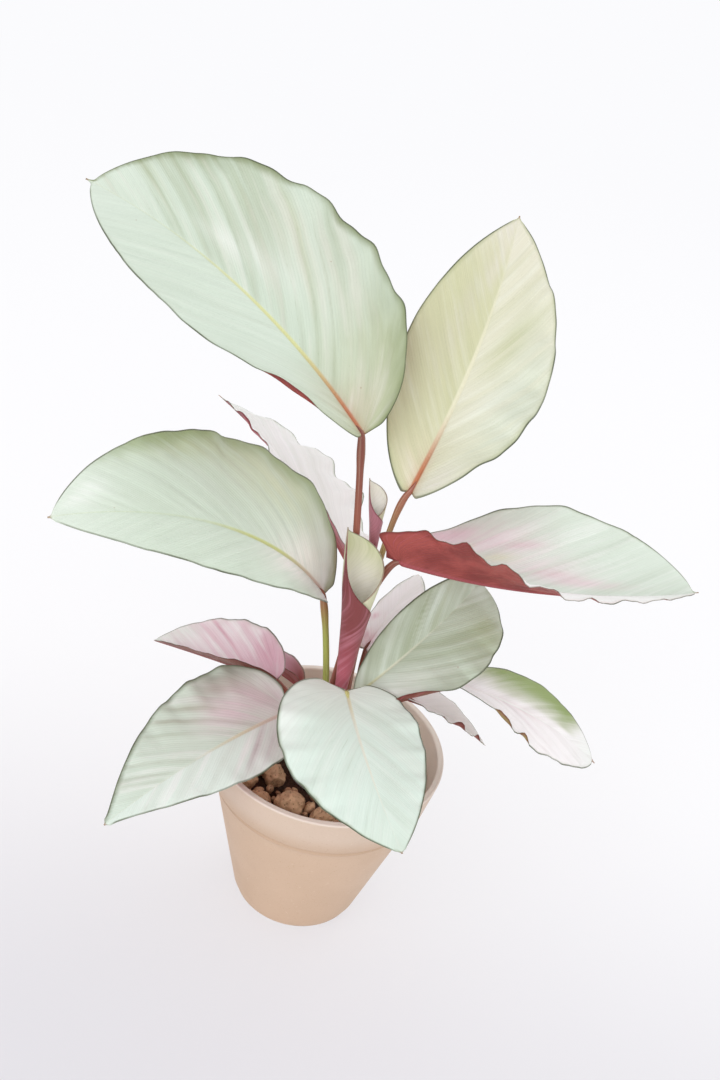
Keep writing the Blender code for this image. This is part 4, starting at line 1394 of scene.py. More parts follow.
def drill(pot, angle):
    """Cuts one drain hole through the pot's floor."""
    shape = bmesh.new()
    bmesh.ops.create_cone(
        shape, cap_ends=True, segments=32, depth=4.0 * POT_FLOOR,
        radius1=DRAIN_HOLE_RADIUS, radius2=DRAIN_HOLE_RADIUS,
    )
    cutter = link_object("drain_cutter", finished_mesh("drain_cutter", shape))
    cutter.location = (DRAIN_HOLE_RING * math.cos(angle), DRAIN_HOLE_RING * math.sin(angle), POT_FLOOR / 2.0)
    cut = pot.modifiers.new("Drain hole", "BOOLEAN")
    cut.object = cutter
    bpy.context.view_layer.update()
    drilled = bpy.data.meshes.new_from_object(pot.evaluated_get(bpy.context.evaluated_depsgraph_get()))
    pot.modifiers.clear()
    pot.data = drilled
    bpy.data.objects.remove(cutter, do_unlink=True)


def build_pot(settings):
    remove_piece("pot_shell")
    mesh = turned_mesh("pot_shell", pot_profile(settings), POT_SEGMENTS)
    pot = place_piece("pot_shell", mesh, [pot_finish(settings)], "pot")
    for index in range(DRAIN_HOLE_COUNT):
        drill(pot, math.radians(DRAIN_HOLE_TURN + 360.0 * index / DRAIN_HOLE_COUNT))
    pot.data.set_sharp_from_angle(angle=math.radians(POT_SHARP_ANGLE))


# --- Potting mix, crown and stones ---

MIX_FOOT_GAP = 0.0018
MIX_SHOULDER = 0.002
MIX_EDGE = 0.0004
MIX_SIDE_STEPS = 10
MIX_RINGS = 44
MIX_SEGMENTS = 180
MIX_LUMPS = (260.0, 0.0011)
MIX_CRUMBS = (700.0, 0.0007)
MIX_SETTLING = 0.0006


def build_mix(settings):
    """Potting mix: crumbly on top, filling the pot below."""
    remove_piece("potting_mix")
    radius = (SOIL_HIGH.x - SOIL_LOW.x) / 2.0
    low, high = SOIL_LOW.z, SOIL_HIGH.z
    foot = POT_BASE_RADIUS - MIX_FOOT_GAP
    sides = []
    for step in range(MIX_SIDE_STEPS + 1):
        out = foot + (radius - foot) * step / MIX_SIDE_STEPS
        sides.append((out, low + (high - MIX_SHOULDER - low) * step / MIX_SIDE_STEPS))
    surface = [(radius * (1.0 - step / MIX_RINGS) - MIX_EDGE, high) for step in range(MIX_RINGS - 1)]

    def crumble(point):
        if point.z < high - MIX_SHOULDER / 2.0:
            return point
        lift = sum(noise.noise(point * scale) * height for scale, height in (MIX_LUMPS, MIX_CRUMBS))
        return Vector((point.x, point.y, point.z + lift - MIX_SETTLING))

    profile = [(0.0, low), *sides, *surface, (0.0, high)]
    mesh = turned_mesh("potting_mix", profile, MIX_SEGMENTS, crumble)
    place_piece("potting_mix", mesh, [mix_finish(settings)], "soil")


GRIT_COUNT = 260
GRIT_INNER = 0.016
GRIT_SPREAD = 0.0245
GRIT_SIZE = 0.001
GRIT_GROWTH = 0.0022
GRIT_PILE = 0.0022
GRIT_SQUASH = (1.0, 0.8, 0.65)
GRIT_BUMP = 0.35
GRIT_NUMBER = 33


def build_grit(settings):
    """Small chips of lava that fill the gaps between the stones, as one piece."""
    remove_piece("lava_grit")
    shape = bmesh.new()
    rng = np.random.default_rng(11)
    for number in range(GRIT_COUNT):
        reach = GRIT_INNER + GRIT_SPREAD * math.sqrt(rng.random())
        angle = rng.random() * 2.0 * math.pi
        size = GRIT_SIZE + GRIT_GROWTH * rng.random() ** 1.5
        made = bmesh.ops.create_icosphere(shape, subdivisions=2, radius=size)["verts"]
        height = SOIL_HIGH.z + 0.35 * size + GRIT_PILE * rng.random()
        spot = Vector((reach * math.cos(angle), reach * math.sin(angle), height))
        turn = Matrix.Rotation(rng.random() * 3.0, 3, Vector(rng.normal(size=3)).normalized())
        for vertex in made:
            bump = 1.0 + GRIT_BUMP * noise.noise(vertex.co / size * 1.3 + Vector((3.1 * number, 0.0, 0.0)))
            squashed = [part * share * bump for part, share in zip(vertex.co, GRIT_SQUASH)]
            vertex.co = spot + turn @ Vector(squashed)
    bmesh.ops.recalc_face_normals(shape, faces=shape.faces)
    mesh = finished_mesh("lava_grit", shape)
    store_fields(mesh, {"height": np.full(len(mesh.vertices), 0.2)})
    mesh.shade_smooth()
    place_piece("lava_grit", mesh, [stone_finish(settings, GRIT_NUMBER)], None)


CROWN_RINGS = 26
CROWN_SEGMENTS = 120
CROWN_STEP = 0.0008
CROWN_FLAT = 0.0005
CROWN_RIDGE = 0.0007


def build_crown(palette):
    """Crown: a low mound of old sheath bases that the stalks rise from."""
    remove_piece("crown_mound")
    radius, top, bottom = (CROWN_HIGH.x - CROWN_LOW.x) / 2.0, CROWN_HIGH.z, CROWN_LOW.z
    dome = []
    for step in range(CROWN_RINGS):
        share = 1.0 - step / CROWN_RINGS
        rise = (top - bottom - CROWN_STEP) * (1.0 - share**4) ** 0.6
        dome.append((radius * share, bottom + CROWN_STEP + rise))
    profile = [(0.0, bottom), (radius, bottom), *dome, (0.0, top)]

    def gnarl(point):
        if point.z < bottom + CROWN_FLAT:
            return point
        ridge = noise.noise(Vector((point.x * 420.0, point.y * 420.0, point.z * 90.0))) * CROWN_RIDGE
        return point + Vector((point.x, point.y, 0.004)).normalized() * ridge

    mesh = turned_mesh("crown_mound", profile, CROWN_SEGMENTS, gnarl)
    place_piece("crown_mound", mesh, [crown_finish(palette)], "crown")


SCALE_ROWS = 16
SCALE_COLUMNS = 13
SCALE_HEIGHT = 0.01
SCALE_GROWTH = 0.006
SCALE_WRAP = 115
SCALE_TIP_WRAP = 6
SCALE_GAP = 0.0006
SCALE_LEAN = 0.0016
SCALE_SINK = 0.0006
SCALE_HALF_THICKNESS = 0.00018


def build_scales(palette):
    """Dry sheath scales, one round the foot of each stalk."""
    finish = crown_finish(palette)
    along = np.linspace(0.0, 1.0, SCALE_ROWS)[:, None]
    across = np.linspace(-1.0, 1.0, SCALE_COLUMNS)[None, :]
    for number, stalk in enumerate(STALKS, start=1):
        name = f"sheath_scale_{number:02d}"
        remove_piece(name)
        east, north = stalk.foot
        facing = math.atan2(north, east) + 0.4 * math.sin(5.0 * number)
        tall = SCALE_HEIGHT + SCALE_GROWTH * scattered(number)
        wrap = math.radians(SCALE_WRAP) * (1.0 - along**2.2) + math.radians(SCALE_TIP_WRAP)
        angle = facing + across * wrap
        reach = stalk.radius * 1.75 + SCALE_GAP + SCALE_LEAN * along**2
        height = CROWN_HIGH.z - SCALE_SINK + tall * along
        x, y = east + reach * np.cos(angle), north + reach * np.sin(angle)
        points = np.stack(np.broadcast_arrays(x, y, height), -1)
        outward = grid_normals(points) * SCALE_HALF_THICKNESS
        mesh = sheet_mesh(name, points + outward, points - outward, {"along": along})
        place_piece(name, mesh, [finish, finish], None)


STONE_GROWTH = 1.1
STONE_WELD = 0.00002
STONE_CHIPS = 9
CHIP_TOP = 0.92
CHIP_FALL = 1.25
CHIP_FLATNESS = 0.92
CHIP_REACH = 0.72
CHIP_SPREAD = 0.2
# Each kind of roughness: how fine it is, in waves per millimetre, and its height.
STONE_LUMPS = (0.28, 0.0006)
STONE_KNOBS = (0.75, 0.0004)
STONE_GRAIN = (2.2, 0.00018)
STONE_PITS = (0.9, -0.0022)
STONE_PIT_START = 0.25
STONE_SHRINK = 0.0001
STONE_RELIEF = 0.0009


def chip_stone(shape, number):
    """Broken faces: flattens the stone towards a ring of directions, from its top to below its middle."""
    centre = sum((vertex.co for vertex in shape.verts), Vector()) / len(shape.verts)
    for vertex in shape.verts:
        vertex.co = centre + (vertex.co - centre) * STONE_GROWTH
    for chip in range(STONE_CHIPS):
        turn = 2.4 * chip + 1.7 * number
        rise = CHIP_TOP - CHIP_FALL * chip / (STONE_CHIPS - 1)
        level = math.sqrt(1.0 - rise * rise)
        way = Vector((level * math.cos(turn), level * math.sin(turn), rise))
        reach = max((vertex.co - centre).dot(way) for vertex in shape.verts)
        limit = reach * (CHIP_REACH + CHIP_SPREAD * ((0.37 * number + 0.61 * chip) % 1.0))
        for vertex in shape.verts:
            past = (vertex.co - centre).dot(way) - limit
            if past > 0.0:
                vertex.co -= way * (CHIP_FLATNESS * past)


def roughen_stone(shape, number):
    """Moves the stone's points in and out, and gives the height of each, from about -1 to 1."""
    offset = Vector((2.3 * number, 5.1 * number, 0.0))
    moved, heights = [], []
    for vertex in shape.verts:
        here = vertex.co * 1000.0
        kinds = (STONE_LUMPS, STONE_KNOBS, STONE_GRAIN)
        lumps, knobs, grain = [noise.noise(here * scale + offset) * height for scale, height in kinds]
        scale, depth = STONE_PITS
        pit = max(0.0, noise.noise(here * scale - offset) - STONE_PIT_START) * depth
        moved.append(vertex.co + vertex.normal * (lumps + knobs + grain + pit - STONE_SHRINK))
        heights.append((lumps + knobs + pit) / STONE_RELIEF)
    for vertex, point in zip(shape.verts, moved):
        vertex.co = point
    return heights


def build_stones(settings):
    """Lava stones: each node's own shape, cut finer, chipped, roughened and pitted."""
    for number, node in enumerate(STONE_NODES, start=1):
        name = f"lava_{node}"
        remove_piece(name)
        shape = bmesh.new()
        shape.from_mesh(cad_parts[node].data)
        bmesh.ops.remove_doubles(shape, verts=shape.verts, dist=STONE_WELD)
        for _ in range(2):
            bmesh.ops.subdivide_edges(shape, edges=shape.edges, cuts=1, use_grid_fill=True, smooth=0.1)
        chip_stone(shape, number)
        shape.normal_update()
        heights = roughen_stone(shape, number)
        mesh = finished_mesh(name, shape)
        store_fields(mesh, {"height": heights})
        mesh.shade_smooth()
        place_piece(name, mesh, [stone_finish(settings, number)], node)


# --- Open blades ---

FIELDS = ("along", "across", "rim", "mid", "vein", "pleat", "furrow")
MIDRIB_STEPS = 200
BLADE_END_WIDTH = 0.0003
TAIL_HALF_WIDTH = 0.0018
VEIN_BEND = 0.3
FAN_SHARE = 0.16
LEAST_ROWS = 30
LEAST_COLUMNS = 9
ROW_EASE = 0.6
COLUMN_EASE = 0.5
# How near to the midrib and the margin the pleats fade, how near to the margin the blade thins, and
# the share that is left of both at the margin.
PLEAT_FADE = 0.006
MARGIN_THINNING = 0.0015
MARGIN_SHARE = 0.45
GROOVE_DEPTH = 0.00035
GROOVE_WIDTH = 0.0008
# The ridge under the midrib, as shares of the stalk's radius.
RIDGE_HEIGHT = 0.95
RIDGE_WIDTH = 0.9
RIDGE_TIP_WIDTH = 0.3


def midrib(blade, along):
    """Points of the midrib, with the tangent, upper normal and right-hand direction at each."""
    fine = np.linspace(0.0, 1.0, MIDRIB_STEPS + 1)
    pitch = np.radians(blade.pitch - blade.arch * fine)
    yaw = np.radians(blade.heading + blade.sweep * fine)
    roll = np.radians(blade.roll + blade.twist * fine)[:, None]
    tangent = np.stack([np.cos(pitch) * np.cos(yaw), np.cos(pitch) * np.sin(yaw), np.sin(pitch)], -1)
    level_up = np.stack([-np.sin(pitch) * np.cos(yaw), -np.sin(pitch) * np.sin(yaw), np.cos(pitch)], -1)
    level_right = np.cross(tangent, level_up)
    upper = level_up * np.cos(roll) + level_right * np.sin(roll)
    right = level_right * np.cos(roll) - level_up * np.sin(roll)
    steps = (tangent[1:] + tangent[:-1]) / 2.0 * blade.length / MIDRIB_STEPS
    points = np.array(blade.base) + np.vstack([np.zeros(3), np.cumsum(steps, axis=0)])

    def sample(values):
        return np.stack([np.interp(along, fine, values[:, axis]) for axis in range(3)], -1)

    return sample(points), sample(tangent), sample(upper), sample(right)


def outline(blade, along):
    """Half-width of the blade as a fraction of its widest, from base (0) to the foot of its tail (1)."""
    along = np.clip(along / (1.0 - blade.tail), 0.0, 1.0)
    base, tip = blade.fullness
    widest = base / (base + tip)
    peak = widest**base * (1.0 - widest) ** tip
    return along**base * (1.0 - along) ** tip / peak


def eased_steps(count, density):
    """Steps from 0 to 1 that lie closer together near both ends."""
    even = np.linspace(0.0, 1.0, count)
    return even - density * np.sin(2.0 * math.pi * even) / (2.0 * math.pi)


def half_slopes(blade, half, side, along, reach, share):
    """How steeply one half rises from the midrib's level, in degrees, at each point of its grid."""
    fold = half.fold + (half.tip_fold - half.fold) * smooth(along / blade.fold_reach)
    slopes = fold[:, None] + half.curl * reach[None, :] * share[:, None]
    for turn in blade.turns:
        if turn.side == side:
            near = smooth(1.0 - np.abs(along - turn.centre) / turn.reach)
            past = smooth((reach[None, :] - turn.start) / (1.0 - turn.start))
            slopes += turn.angle * near[:, None] * past
    return slopes


def margin_swing(wave, along, share):
    """Up and down of one margin along the blade, out of two sines, none at the base."""
    turns = np.radians(360.0 * wave.count * along + wave.phase)
    swing = np.sin(turns) + 0.35 * np.sin(2.3 * turns + 1.0)
    return swing * (share * smooth(along * 5.0) * (1.3 - wave.fade * along))


def half_grid(blade, side, along, reach, waviness):
    """Grid of points of one half of a blade, with its width at each row."""
    half, wave = (blade.left, blade.waves[0]) if side < 0 else (blade.right, blade.waves[1])
    centre, tangent, upper, right = midrib(blade, along)
    share = outline(blade, along)
    tail = np.clip((1.0 - along) / (1.5 * blade.tail), 0.0, 1.0) ** 1.3
    tail = TAIL_HALF_WIDTH * tail * smooth(along * 10.0)
    width = np.maximum(np.hypot(share * half.width, tail), BLADE_END_WIDTH)
    slopes = half_slopes(blade, half, side, along, reach, share)
    middle = np.radians((slopes[:, 1:] + slopes[:, :-1]) / 2.0)
    step = np.diff(reach)[None, :]
    nothing = np.zeros((len(along), 1))
    out = np.hstack([nothing, np.cumsum(np.cos(middle) * step, axis=1)]) * width[:, None]
    rise = np.hstack([nothing, np.cumsum(np.sin(middle) * step, axis=1)]) * width[:, None]
    swing = margin_swing(wave, along, share)
    rise += waviness * wave.height * swing[:, None] * reach[None, :] ** 2.5
    lobe = blade.lobe * half.lobe_share * half.width
    lobe_fade = (1.0 - along) ** 3 * smooth(along / blade.lobe_round + 0.35)
    back = lobe * reach[None, :] ** 1.6 * lobe_fade[:, None]
    points = (
        centre[:, None] + right[:, None] * (side * out)[..., None]
        + upper[:, None] * rise[..., None] - tangent[:, None] * back[..., None]
    )
    return points, width


def vein_origin(blade, half_width, along, mid):
    """Where on the midrib a point's side vein starts: 0 at the base, 1 at the tip, less in the lobe."""
    out = mid / half_width
    out = out + VEIN_BEND * out**2
    low, high = [half_width / blade.length / math.tan(math.radians(angle)) for angle in blade.vein_angles]
    straight = (along - low * out) / (1.0 + (high - low) * out)
    fan = -FAN_SHARE * (1.0 - along / np.maximum(low * out, 1e-9))
    return np.where(along >= low * out, straight, fan)


def pleat_pattern(blade, side, along, reach, vein):
    """Uneven pleats along the side veins: their height, and 0 in a furrow up to 1 beside it."""
    phase = 2.0 * math.pi * blade.pleats * vein + 1.7 * side
    phase = phase + 0.9 * np.sin(0.31 * phase + 2.0 * side) + 0.5 * np.sin(0.77 * phase)
    furrow = np.abs(np.cos(0.5 * phase))
    uneven = 0.6 + 0.4 * np.cos(0.23 * phase + 2.4 * reach + side)
    pleat = uneven * (1.5 * furrow - 0.95) + 0.45 * np.cos(0.41 * phase + 2.0 + side)
    ends = smooth(vein / 0.04 + 0.5) * smooth((0.93 - along) / 0.12)
    return pleat * ends, 1.0 - (1.0 - furrow) * ends


def blade_grid(blade, settings):
    """Middle surface of a blade and the fields that its finishes read, as grids."""
    along = eased_steps(max(LEAST_ROWS, round(blade.length / settings.facet)), ROW_EASE)
    points, fields = [], {name: [] for name in FIELDS}
    for side, half in ((-1, blade.left), (1, blade.right)):
        reach = eased_steps(max(LEAST_COLUMNS, round(half.width / settings.facet)), COLUMN_EASE)
        grid, width = half_grid(blade, side, along, reach, settings.waviness)
        row, column, width = along[:, None], reach[None, :], width[:, None]
        mid = column * width
        vein = vein_origin(blade, half.width, row, mid)
        pleat, furrow = pleat_pattern(blade, side, row, column, vein)
        values = (row, side * column, (1.0 - column) * width, mid, vein, pleat, furrow)
        inward = slice(None, 0, -1) if side < 0 else slice(None)
        points.append(grid[:, inward])
        for name, value in zip(FIELDS, values):
            fields[name].append(np.broadcast_to(value, grid.shape[:2])[:, inward])
    return np.hstack(points), {name: np.hstack(parts) for name, parts in fields.items()}


def less_at_margin(rim, distance):
    """1 further than this distance from the margin, less and less nearer to it."""
    return MARGIN_SHARE + (1.0 - MARGIN_SHARE) * smooth(rim / distance)


def build_blade(blade, look, palette, settings, number):
    name = f"blade_{blade.name}"
    remove_piece(name)
    points, fields = blade_grid(blade, settings)
    mid, rim = fields["mid"], fields["rim"]
    lift = settings.pleat_depth * blade.size * fields["pleat"]
    lift = lift * (smooth(mid / PLEAT_FADE) * less_at_margin(rim, PLEAT_FADE))
    points = points + grid_normals(points) * lift[..., None]
    normals = grid_normals(points)
    thick = settings.thickness * less_at_margin(rim, MARGIN_THINNING)
    radius = next(stalk.radius for stalk in STALKS if stalk.name == blade.name)
    slim = (1.0 - fields["along"]) ** 0.8
    groove = GROOVE_DEPTH * blade.size * slim * np.exp(-((mid / GROOVE_WIDTH) ** 2))
    ridge_width = RIDGE_TIP_WIDTH * radius + RIDGE_WIDTH * radius * slim
    ridge = RIDGE_HEIGHT * radius * slim * np.exp(-((mid / ridge_width) ** 2))
    ridge *= smooth(0.3 + fields["along"] / 0.03)
    upper = points + normals * (thick / 2.0 - groove)[..., None]
    lower = points - normals * (thick / 2.0 + ridge)[..., None]
    mesh = sheet_mesh(name, upper, lower, fields)
    seed = 3.1 * number
    finishes = [finish(blade, look, palette, settings, seed) for finish in (upper_finish, lower_finish)]
    place_piece(name, mesh, finishes, f"leaf_{blade.name}")


# --- Rolled leaves ---

# Along the roll from its foot (0) to its tip (1): radius of the roll, how far the outer half
# wraps to one side of the midrib, and how far the inner half wraps to the other side.
ROLL_HEIGHTS = (0.0, 0.2, 0.45, 0.58, 0.66, 0.74, 0.83, 0.92, 1.0)
ROLL_RADII = (0.0022, 0.0034, 0.0051, 0.0064, 0.0073, 0.008, 0.0086, 0.009, 0.0094)
OUTER_WRAP = (190, 200, 200, 120, 66, 34, 18, 8, 0)
INNER_WRAP = (320, 330, 320, 285, 238, 200, 132, 46, 0)
MIDRIB_SIDE = 200.0
ROLL_TIGHTENING = 0.0014
ROLL_END_WRAP = 3.0
ROLL_THICKNESS = 0.0005
ROLL_ROWS = 90
ROLL_COLUMNS = 44
ROLL_PLEATS = 26.0
ROLL_VEIN_SLANT = 0.25
TRACK_STEPS = 400
TRACK_WINDOW = 41


def eased_track(along, places, values):
    """Values along the roll, without the corners of straight runs."""
    fine = np.linspace(0.0, 1.0, TRACK_STEPS + 1)
    straight = np.interp(fine, places, values)
    window = np.hanning(TRACK_WINDOW)
    padded = np.pad(straight, TRACK_WINDOW // 2, mode="reflect", reflect_type="odd")
    return np.interp(along, fine, np.convolve(padded, window / window.sum(), mode="valid"))


def build_scroll(scroll, palette, settings, number):
    name = f"scroll_{scroll.name}"
    remove_piece(name)
    along = np.linspace(0.0, 1.0, round(ROLL_ROWS * scroll.scale**0.5))[:, None]
    inner_side = np.linspace(-1.0, 0.0, 2 * ROLL_COLUMNS)[:-1]
    side = np.concatenate([inner_side, np.linspace(0.0, 1.0, ROLL_COLUMNS)])[None, :]
    radius = eased_track(along, ROLL_HEIGHTS, ROLL_RADII) * scroll.scale
    outer, inner = [eased_track(along, ROLL_HEIGHTS, track) for track in (OUTER_WRAP, INNER_WRAP)]
    span = np.maximum(np.where(side > 0.0, outer, inner), ROLL_END_WRAP)
    wrap = span * side
    angle = np.radians(scroll.facing + MIDRIB_SIDE + wrap)
    reach = radius - ROLL_TIGHTENING * scroll.scale * np.clip(-wrap / 360.0, 0.0, 1.0)
    x = scroll.base[0] + scroll.lean[0] * along * scroll.height + reach * np.cos(angle)
    y = scroll.base[1] + scroll.lean[1] * along * scroll.height + reach * np.sin(angle)
    z = scroll.base[2] + along * scroll.height
    points = np.stack(np.broadcast_arrays(x, y, z), -1)
    flat = np.radians(np.abs(wrap)) * radius
    vein = along - ROLL_VEIN_SLANT * np.abs(side)
    fields = {
        "along": along, "across": side, "mid": flat, "rim": np.radians(span) * radius - flat,
        "vein": vein, "pleat": np.cos(ROLL_PLEATS * vein),
    }
    outward = grid_normals(points) * (ROLL_THICKNESS * scroll.scale**0.5 / 2.0)
    mesh = sheet_mesh(name, points + outward, points - outward, fields)
    finishes = [finish(scroll, palette, settings, number) for finish in (scroll_outside, scroll_inside)]
    place_piece(name, mesh, finishes, f"leaf_{scroll.name}")


# --- Stalks ---

STALK_SINK = 0.0012
STALK_GAP = 0.002
STALK_SIDES = 24
STALK_STEPS = 60
STALK_TAIL_STEPS = 14
STALK_HOLD = 0.007
SCROLL_TAIL = 0.006
SCROLL_TAIL_STEPS = 8

# Shares of a stalk's radius, and the sizes over which each one comes and goes.
SHEATH_SHARE = 0.55
SHEATH_LENGTH = 0.35
JOINT_SHARE = 0.22
JOINT_CENTRE = 0.006
JOINT_LENGTH = 0.0055
STALK_TAPER = 0.12
STALK_END_SHARE = 0.72
STALK_END_LENGTH = 0.008
STALK_RIBS = 7
STALK_RIB_SHARE = 0.015


def bezier(first, second, third, fourth, steps):
    share = np.linspace(0.0, 1.0, steps)[:, None]
    rest = 1.0 - share
    return rest**3 * first + 3 * rest**2 * share * second + 3 * rest * share**2 * third + share**3 * fourth


def stalk_line(stalk):
    """Centre line from the crown to a little way under the blade's midrib, and the row at the blade."""
    foot = np.array([*stalk.foot, CROWN_HIGH.z - STALK_SINK])
    top = np.array(stalk.top) / np.linalg.norm(stalk.top)
    leaf = next(leaf for leaf in (*BLADES, *SCROLLS) if leaf.name == stalk.name)
    end = np.array(leaf.base) - top * STALK_GAP
    reach = np.linalg.norm(end - foot) / 3.0
    up = np.array([0.0, 0.0, reach])
    line = bezier(foot, foot + up, end - top * min(stalk.bend, reach), end, STALK_STEPS)
    if isinstance(leaf, Blade):
        centre, tangent, upper, _ = midrib(leaf, np.array([STALK_HOLD / leaf.length]))
        goal = centre[0] - upper[0] * 0.7 * stalk.radius
        hold = np.linalg.norm(goal - end) * 0.45
        tail = bezier(end, end + top * hold, goal - tangent[0] * hold, goal, STALK_TAIL_STEPS)
    else:
        tail = end + top * SCROLL_TAIL * np.linspace(0.0, 1.0, SCROLL_TAIL_STEPS)[:, None]
    return np.vstack([line, tail[1:]]), len(line) - 1


def build_stalk(stalk, palette, number):
    name = f"stalk_{stalk.name}"
    remove_piece(name)
    centres, blade_row = stalk_line(stalk)
    run = np.concatenate([[0.0], np.cumsum(np.linalg.norm(np.diff(centres, axis=0), axis=1))])
    along = run / run[-1]
    to_blade = run[blade_row] - run
    sheath = SHEATH_SHARE * (1.0 - smooth(along / SHEATH_LENGTH))
    joint = JOINT_SHARE * np.exp(-(((to_blade - JOINT_CENTRE) / JOINT_LENGTH) ** 2))
    radii = stalk.radius * (1.0 - STALK_TAPER * along + sheath + joint)
    radii *= 1.0 - STALK_END_SHARE * smooth(-to_blade / STALK_END_LENGTH)
    turn = np.arange(STALK_SIDES) / STALK_SIDES
    ribs = 1.0 + STALK_RIB_SHARE * np.cos(2.0 * math.pi * STALK_RIBS * turn)
    fields = {"along": along[:, None], "turn": np.abs(2.0 * turn - 1.0)[None, :]}
    mesh = tube_mesh(name, centres, radii[:, None] * ribs[None, :], STALK_SIDES, fields)
    place_piece(name, mesh, [stalk_finish(stalk, palette, 2.3 * number)], f"stem_{stalk.name}")


# --- Stage ---

CAMERA_PLACE = (-0.00587, -0.48356, 0.50179)
CAMERA_TILT = 33.0
CAMERA_ROLL = 13.0
CAMERA_CLIP = 0.01
FLOOR_HALF = 6.0
FLOOR_NEAR = (0.66, 0.645, 0.7)
FLOOR_WHITENING = 0.65
BACKGROUND = (0.965, 0.965, 0.985)
LAMP_SIZE = 1.6
LAMP_AIM = (0.0, 0.0, 0.15)
# Each softbox: its name, its place, and its power as a share of the stage's lamp setting.
LAMPS = (
    ("softbox_left", (-0.9, -1.5, 1.5), 1.0),
    ("softbox_front", (0.1, -1.9, 0.5), 1.0),
    ("softbox_back", (1.1, 1.1, 1.4), 0.7),
)


def build_floor(settings):
    remove_piece("floor")
    shape = bmesh.new()
    bmesh.ops.create_grid(shape, x_segments=1, y_segments=1, size=FLOOR_HALF)
    mesh = finished_mesh("floor", shape)
    mesh.materials.append(floor_finish(settings))
    floor = link_object("floor", mesh)
    floor.location.z = POT_LOW.z


def seen_share(tree, share=None):
    """The share for rays that the camera sends, straight or off a shiny surface, and 0 for light."""
    path = tree.nodes.new("ShaderNodeLightPath")
    total = path.outputs["Is Camera Ray"]
    others = [("MAXIMUM", path.outputs["Is Glossy Ray"]), ("MAXIMUM", path.outputs["Is Transmission Ray"])]
    if share is not None:
        others.append(("MULTIPLY", share))
    for operation, other in others:
        step = tree.nodes.new("ShaderNodeMath")
        step.operation = operation
        tree.links.new(total, step.inputs[0])
        tree.links.new(other, step.inputs[1])
        total = step.outputs[0]
    return total


def floor_finish(settings):
    """Pale floor that the camera sees evenly lit, a little greyer close by, with the shadows kept."""
    finish = Finish("studio_floor")
    material = finish.set(Base_Color=settings.floor, Roughness=0.9, Specular_IOR_Level=0.1)
    tree = finish.tree
    here = finish.place()
    radius = finish.node("ShaderNodeVectorMath", here, operation="LENGTH").outputs["Value"]
    grey = finish.between(finish.split(here)["Y"], -0.2, 0.16, 1.0, 0.0)
    grey = finish.times(grey, finish.between(radius, 0.35, 1.0, 1.0, 0.0))
    white = finish.node("ShaderNodeEmission", finish.mix(grey, BACKGROUND, FLOOR_NEAR), 1.0)
    whitening = seen_share(tree, finish.between(radius, 0.35, 1.2, FLOOR_WHITENING, 1.0))
    mixed = finish.node("ShaderNodeMixShader", whitening, finish.shader.outputs[0], white.outputs[0])
    tree.links.new(mixed.outputs[0], tree.nodes["Material Output"].inputs["Surface"])
    return material


def build_sky(settings):
    """Even light, seen as plain white by the camera and in reflections."""
    world = bpy.data.worlds.new("studio_sky")
    world.use_nodes = True
    tree = world.node_tree
    tree.nodes.clear()
    light, white = [tree.nodes.new("ShaderNodeBackground") for _ in range(2)]
    light.inputs["Color"].default_value = (1.0, 1.0, 1.0, 1.0)
    light.inputs["Strength"].default_value = settings.sky
    white.inputs["Color"].default_value = (*BACKGROUND, 1.0)
    chosen = tree.nodes.new("ShaderNodeMixShader")
    for socket, output in zip(chosen.inputs, (seen_share(tree), light.outputs[0], white.outputs[0])):
        tree.links.new(output, socket)
    tree.links.new(chosen.outputs[0], tree.nodes.new("ShaderNodeOutputWorld").inputs["Surface"])
    bpy.context.scene.world = world


def add_lamp(name, place, power):
    remove_piece(name)
    light = bpy.data.lights.new(name, "AREA")
    light.shape = "DISK"
    light.size = LAMP_SIZE
    light.energy = power
    lamp = link_object(name, light)
    lamp.location = place
    aim = Vector(LAMP_AIM) - lamp.location
    lamp.rotation_euler = aim.to_track_quat("-Z", "Y").to_euler()


def build_camera(settings):
    remove_piece("camera")
    tilt, roll = math.radians(CAMERA_TILT), math.radians(CAMERA_ROLL)
    across = Vector((1.0, 0.0, 0.0))
    upright = Vector((0.0, math.sin(tilt), math.cos(tilt)))
    right = across * math.cos(roll) + upright * math.sin(roll)
    up = upright * math.cos(roll) - across * math.sin(roll)
    back = right.cross(up)
    data = bpy.data.cameras.new("camera")
    data.lens = settings.lens
    data.clip_start = CAMERA_CLIP
    camera = link_object("camera", data)
    camera.matrix_world = Matrix.Translation(CAMERA_PLACE) @ Matrix((right, up, back)).transposed().to_4x4()
    bpy.context.scene.camera = camera


# --- Operators ---


class CALATHEA_OT_pot(bpy.types.Operator):
    """Build the pot with its lip, band and drain holes"""

    bl_idname = "calathea.pot"
    bl_label = "Pot"

    def execute(self, context):
        build_pot(context.scene.calathea_pot)
        return {"FINISHED"}


class CALATHEA_OT_mix(bpy.types.Operator):
    """Fill the pot with crumbly potting mix"""

    bl_idname = "calathea.mix"
    bl_label = "Potting Mix"

    def execute(self, context):
        build_mix(context.scene.calathea_pot)
        return {"FINISHED"}


class CALATHEA_OT_stones(bpy.types.Operator):
    """Lay the lava stones and the grit between them"""

    bl_idname = "calathea.stones"
    bl_label = "Lava Stones"

    def execute(self, context):
        build_stones(context.scene.calathea_pot)
        build_grit(context.scene.calathea_pot)
        return {"FINISHED"}


class CALATHEA_OT_crown(bpy.types.Operator):
    """Build the crown and the dry scales round the stalks' feet"""

    bl_idname = "calathea.crown"
    bl_label = "Crown"

    def execute(self, context):
        build_crown(context.scene.calathea_palette)
        build_scales(context.scene.calathea_palette)
        return {"FINISHED"}


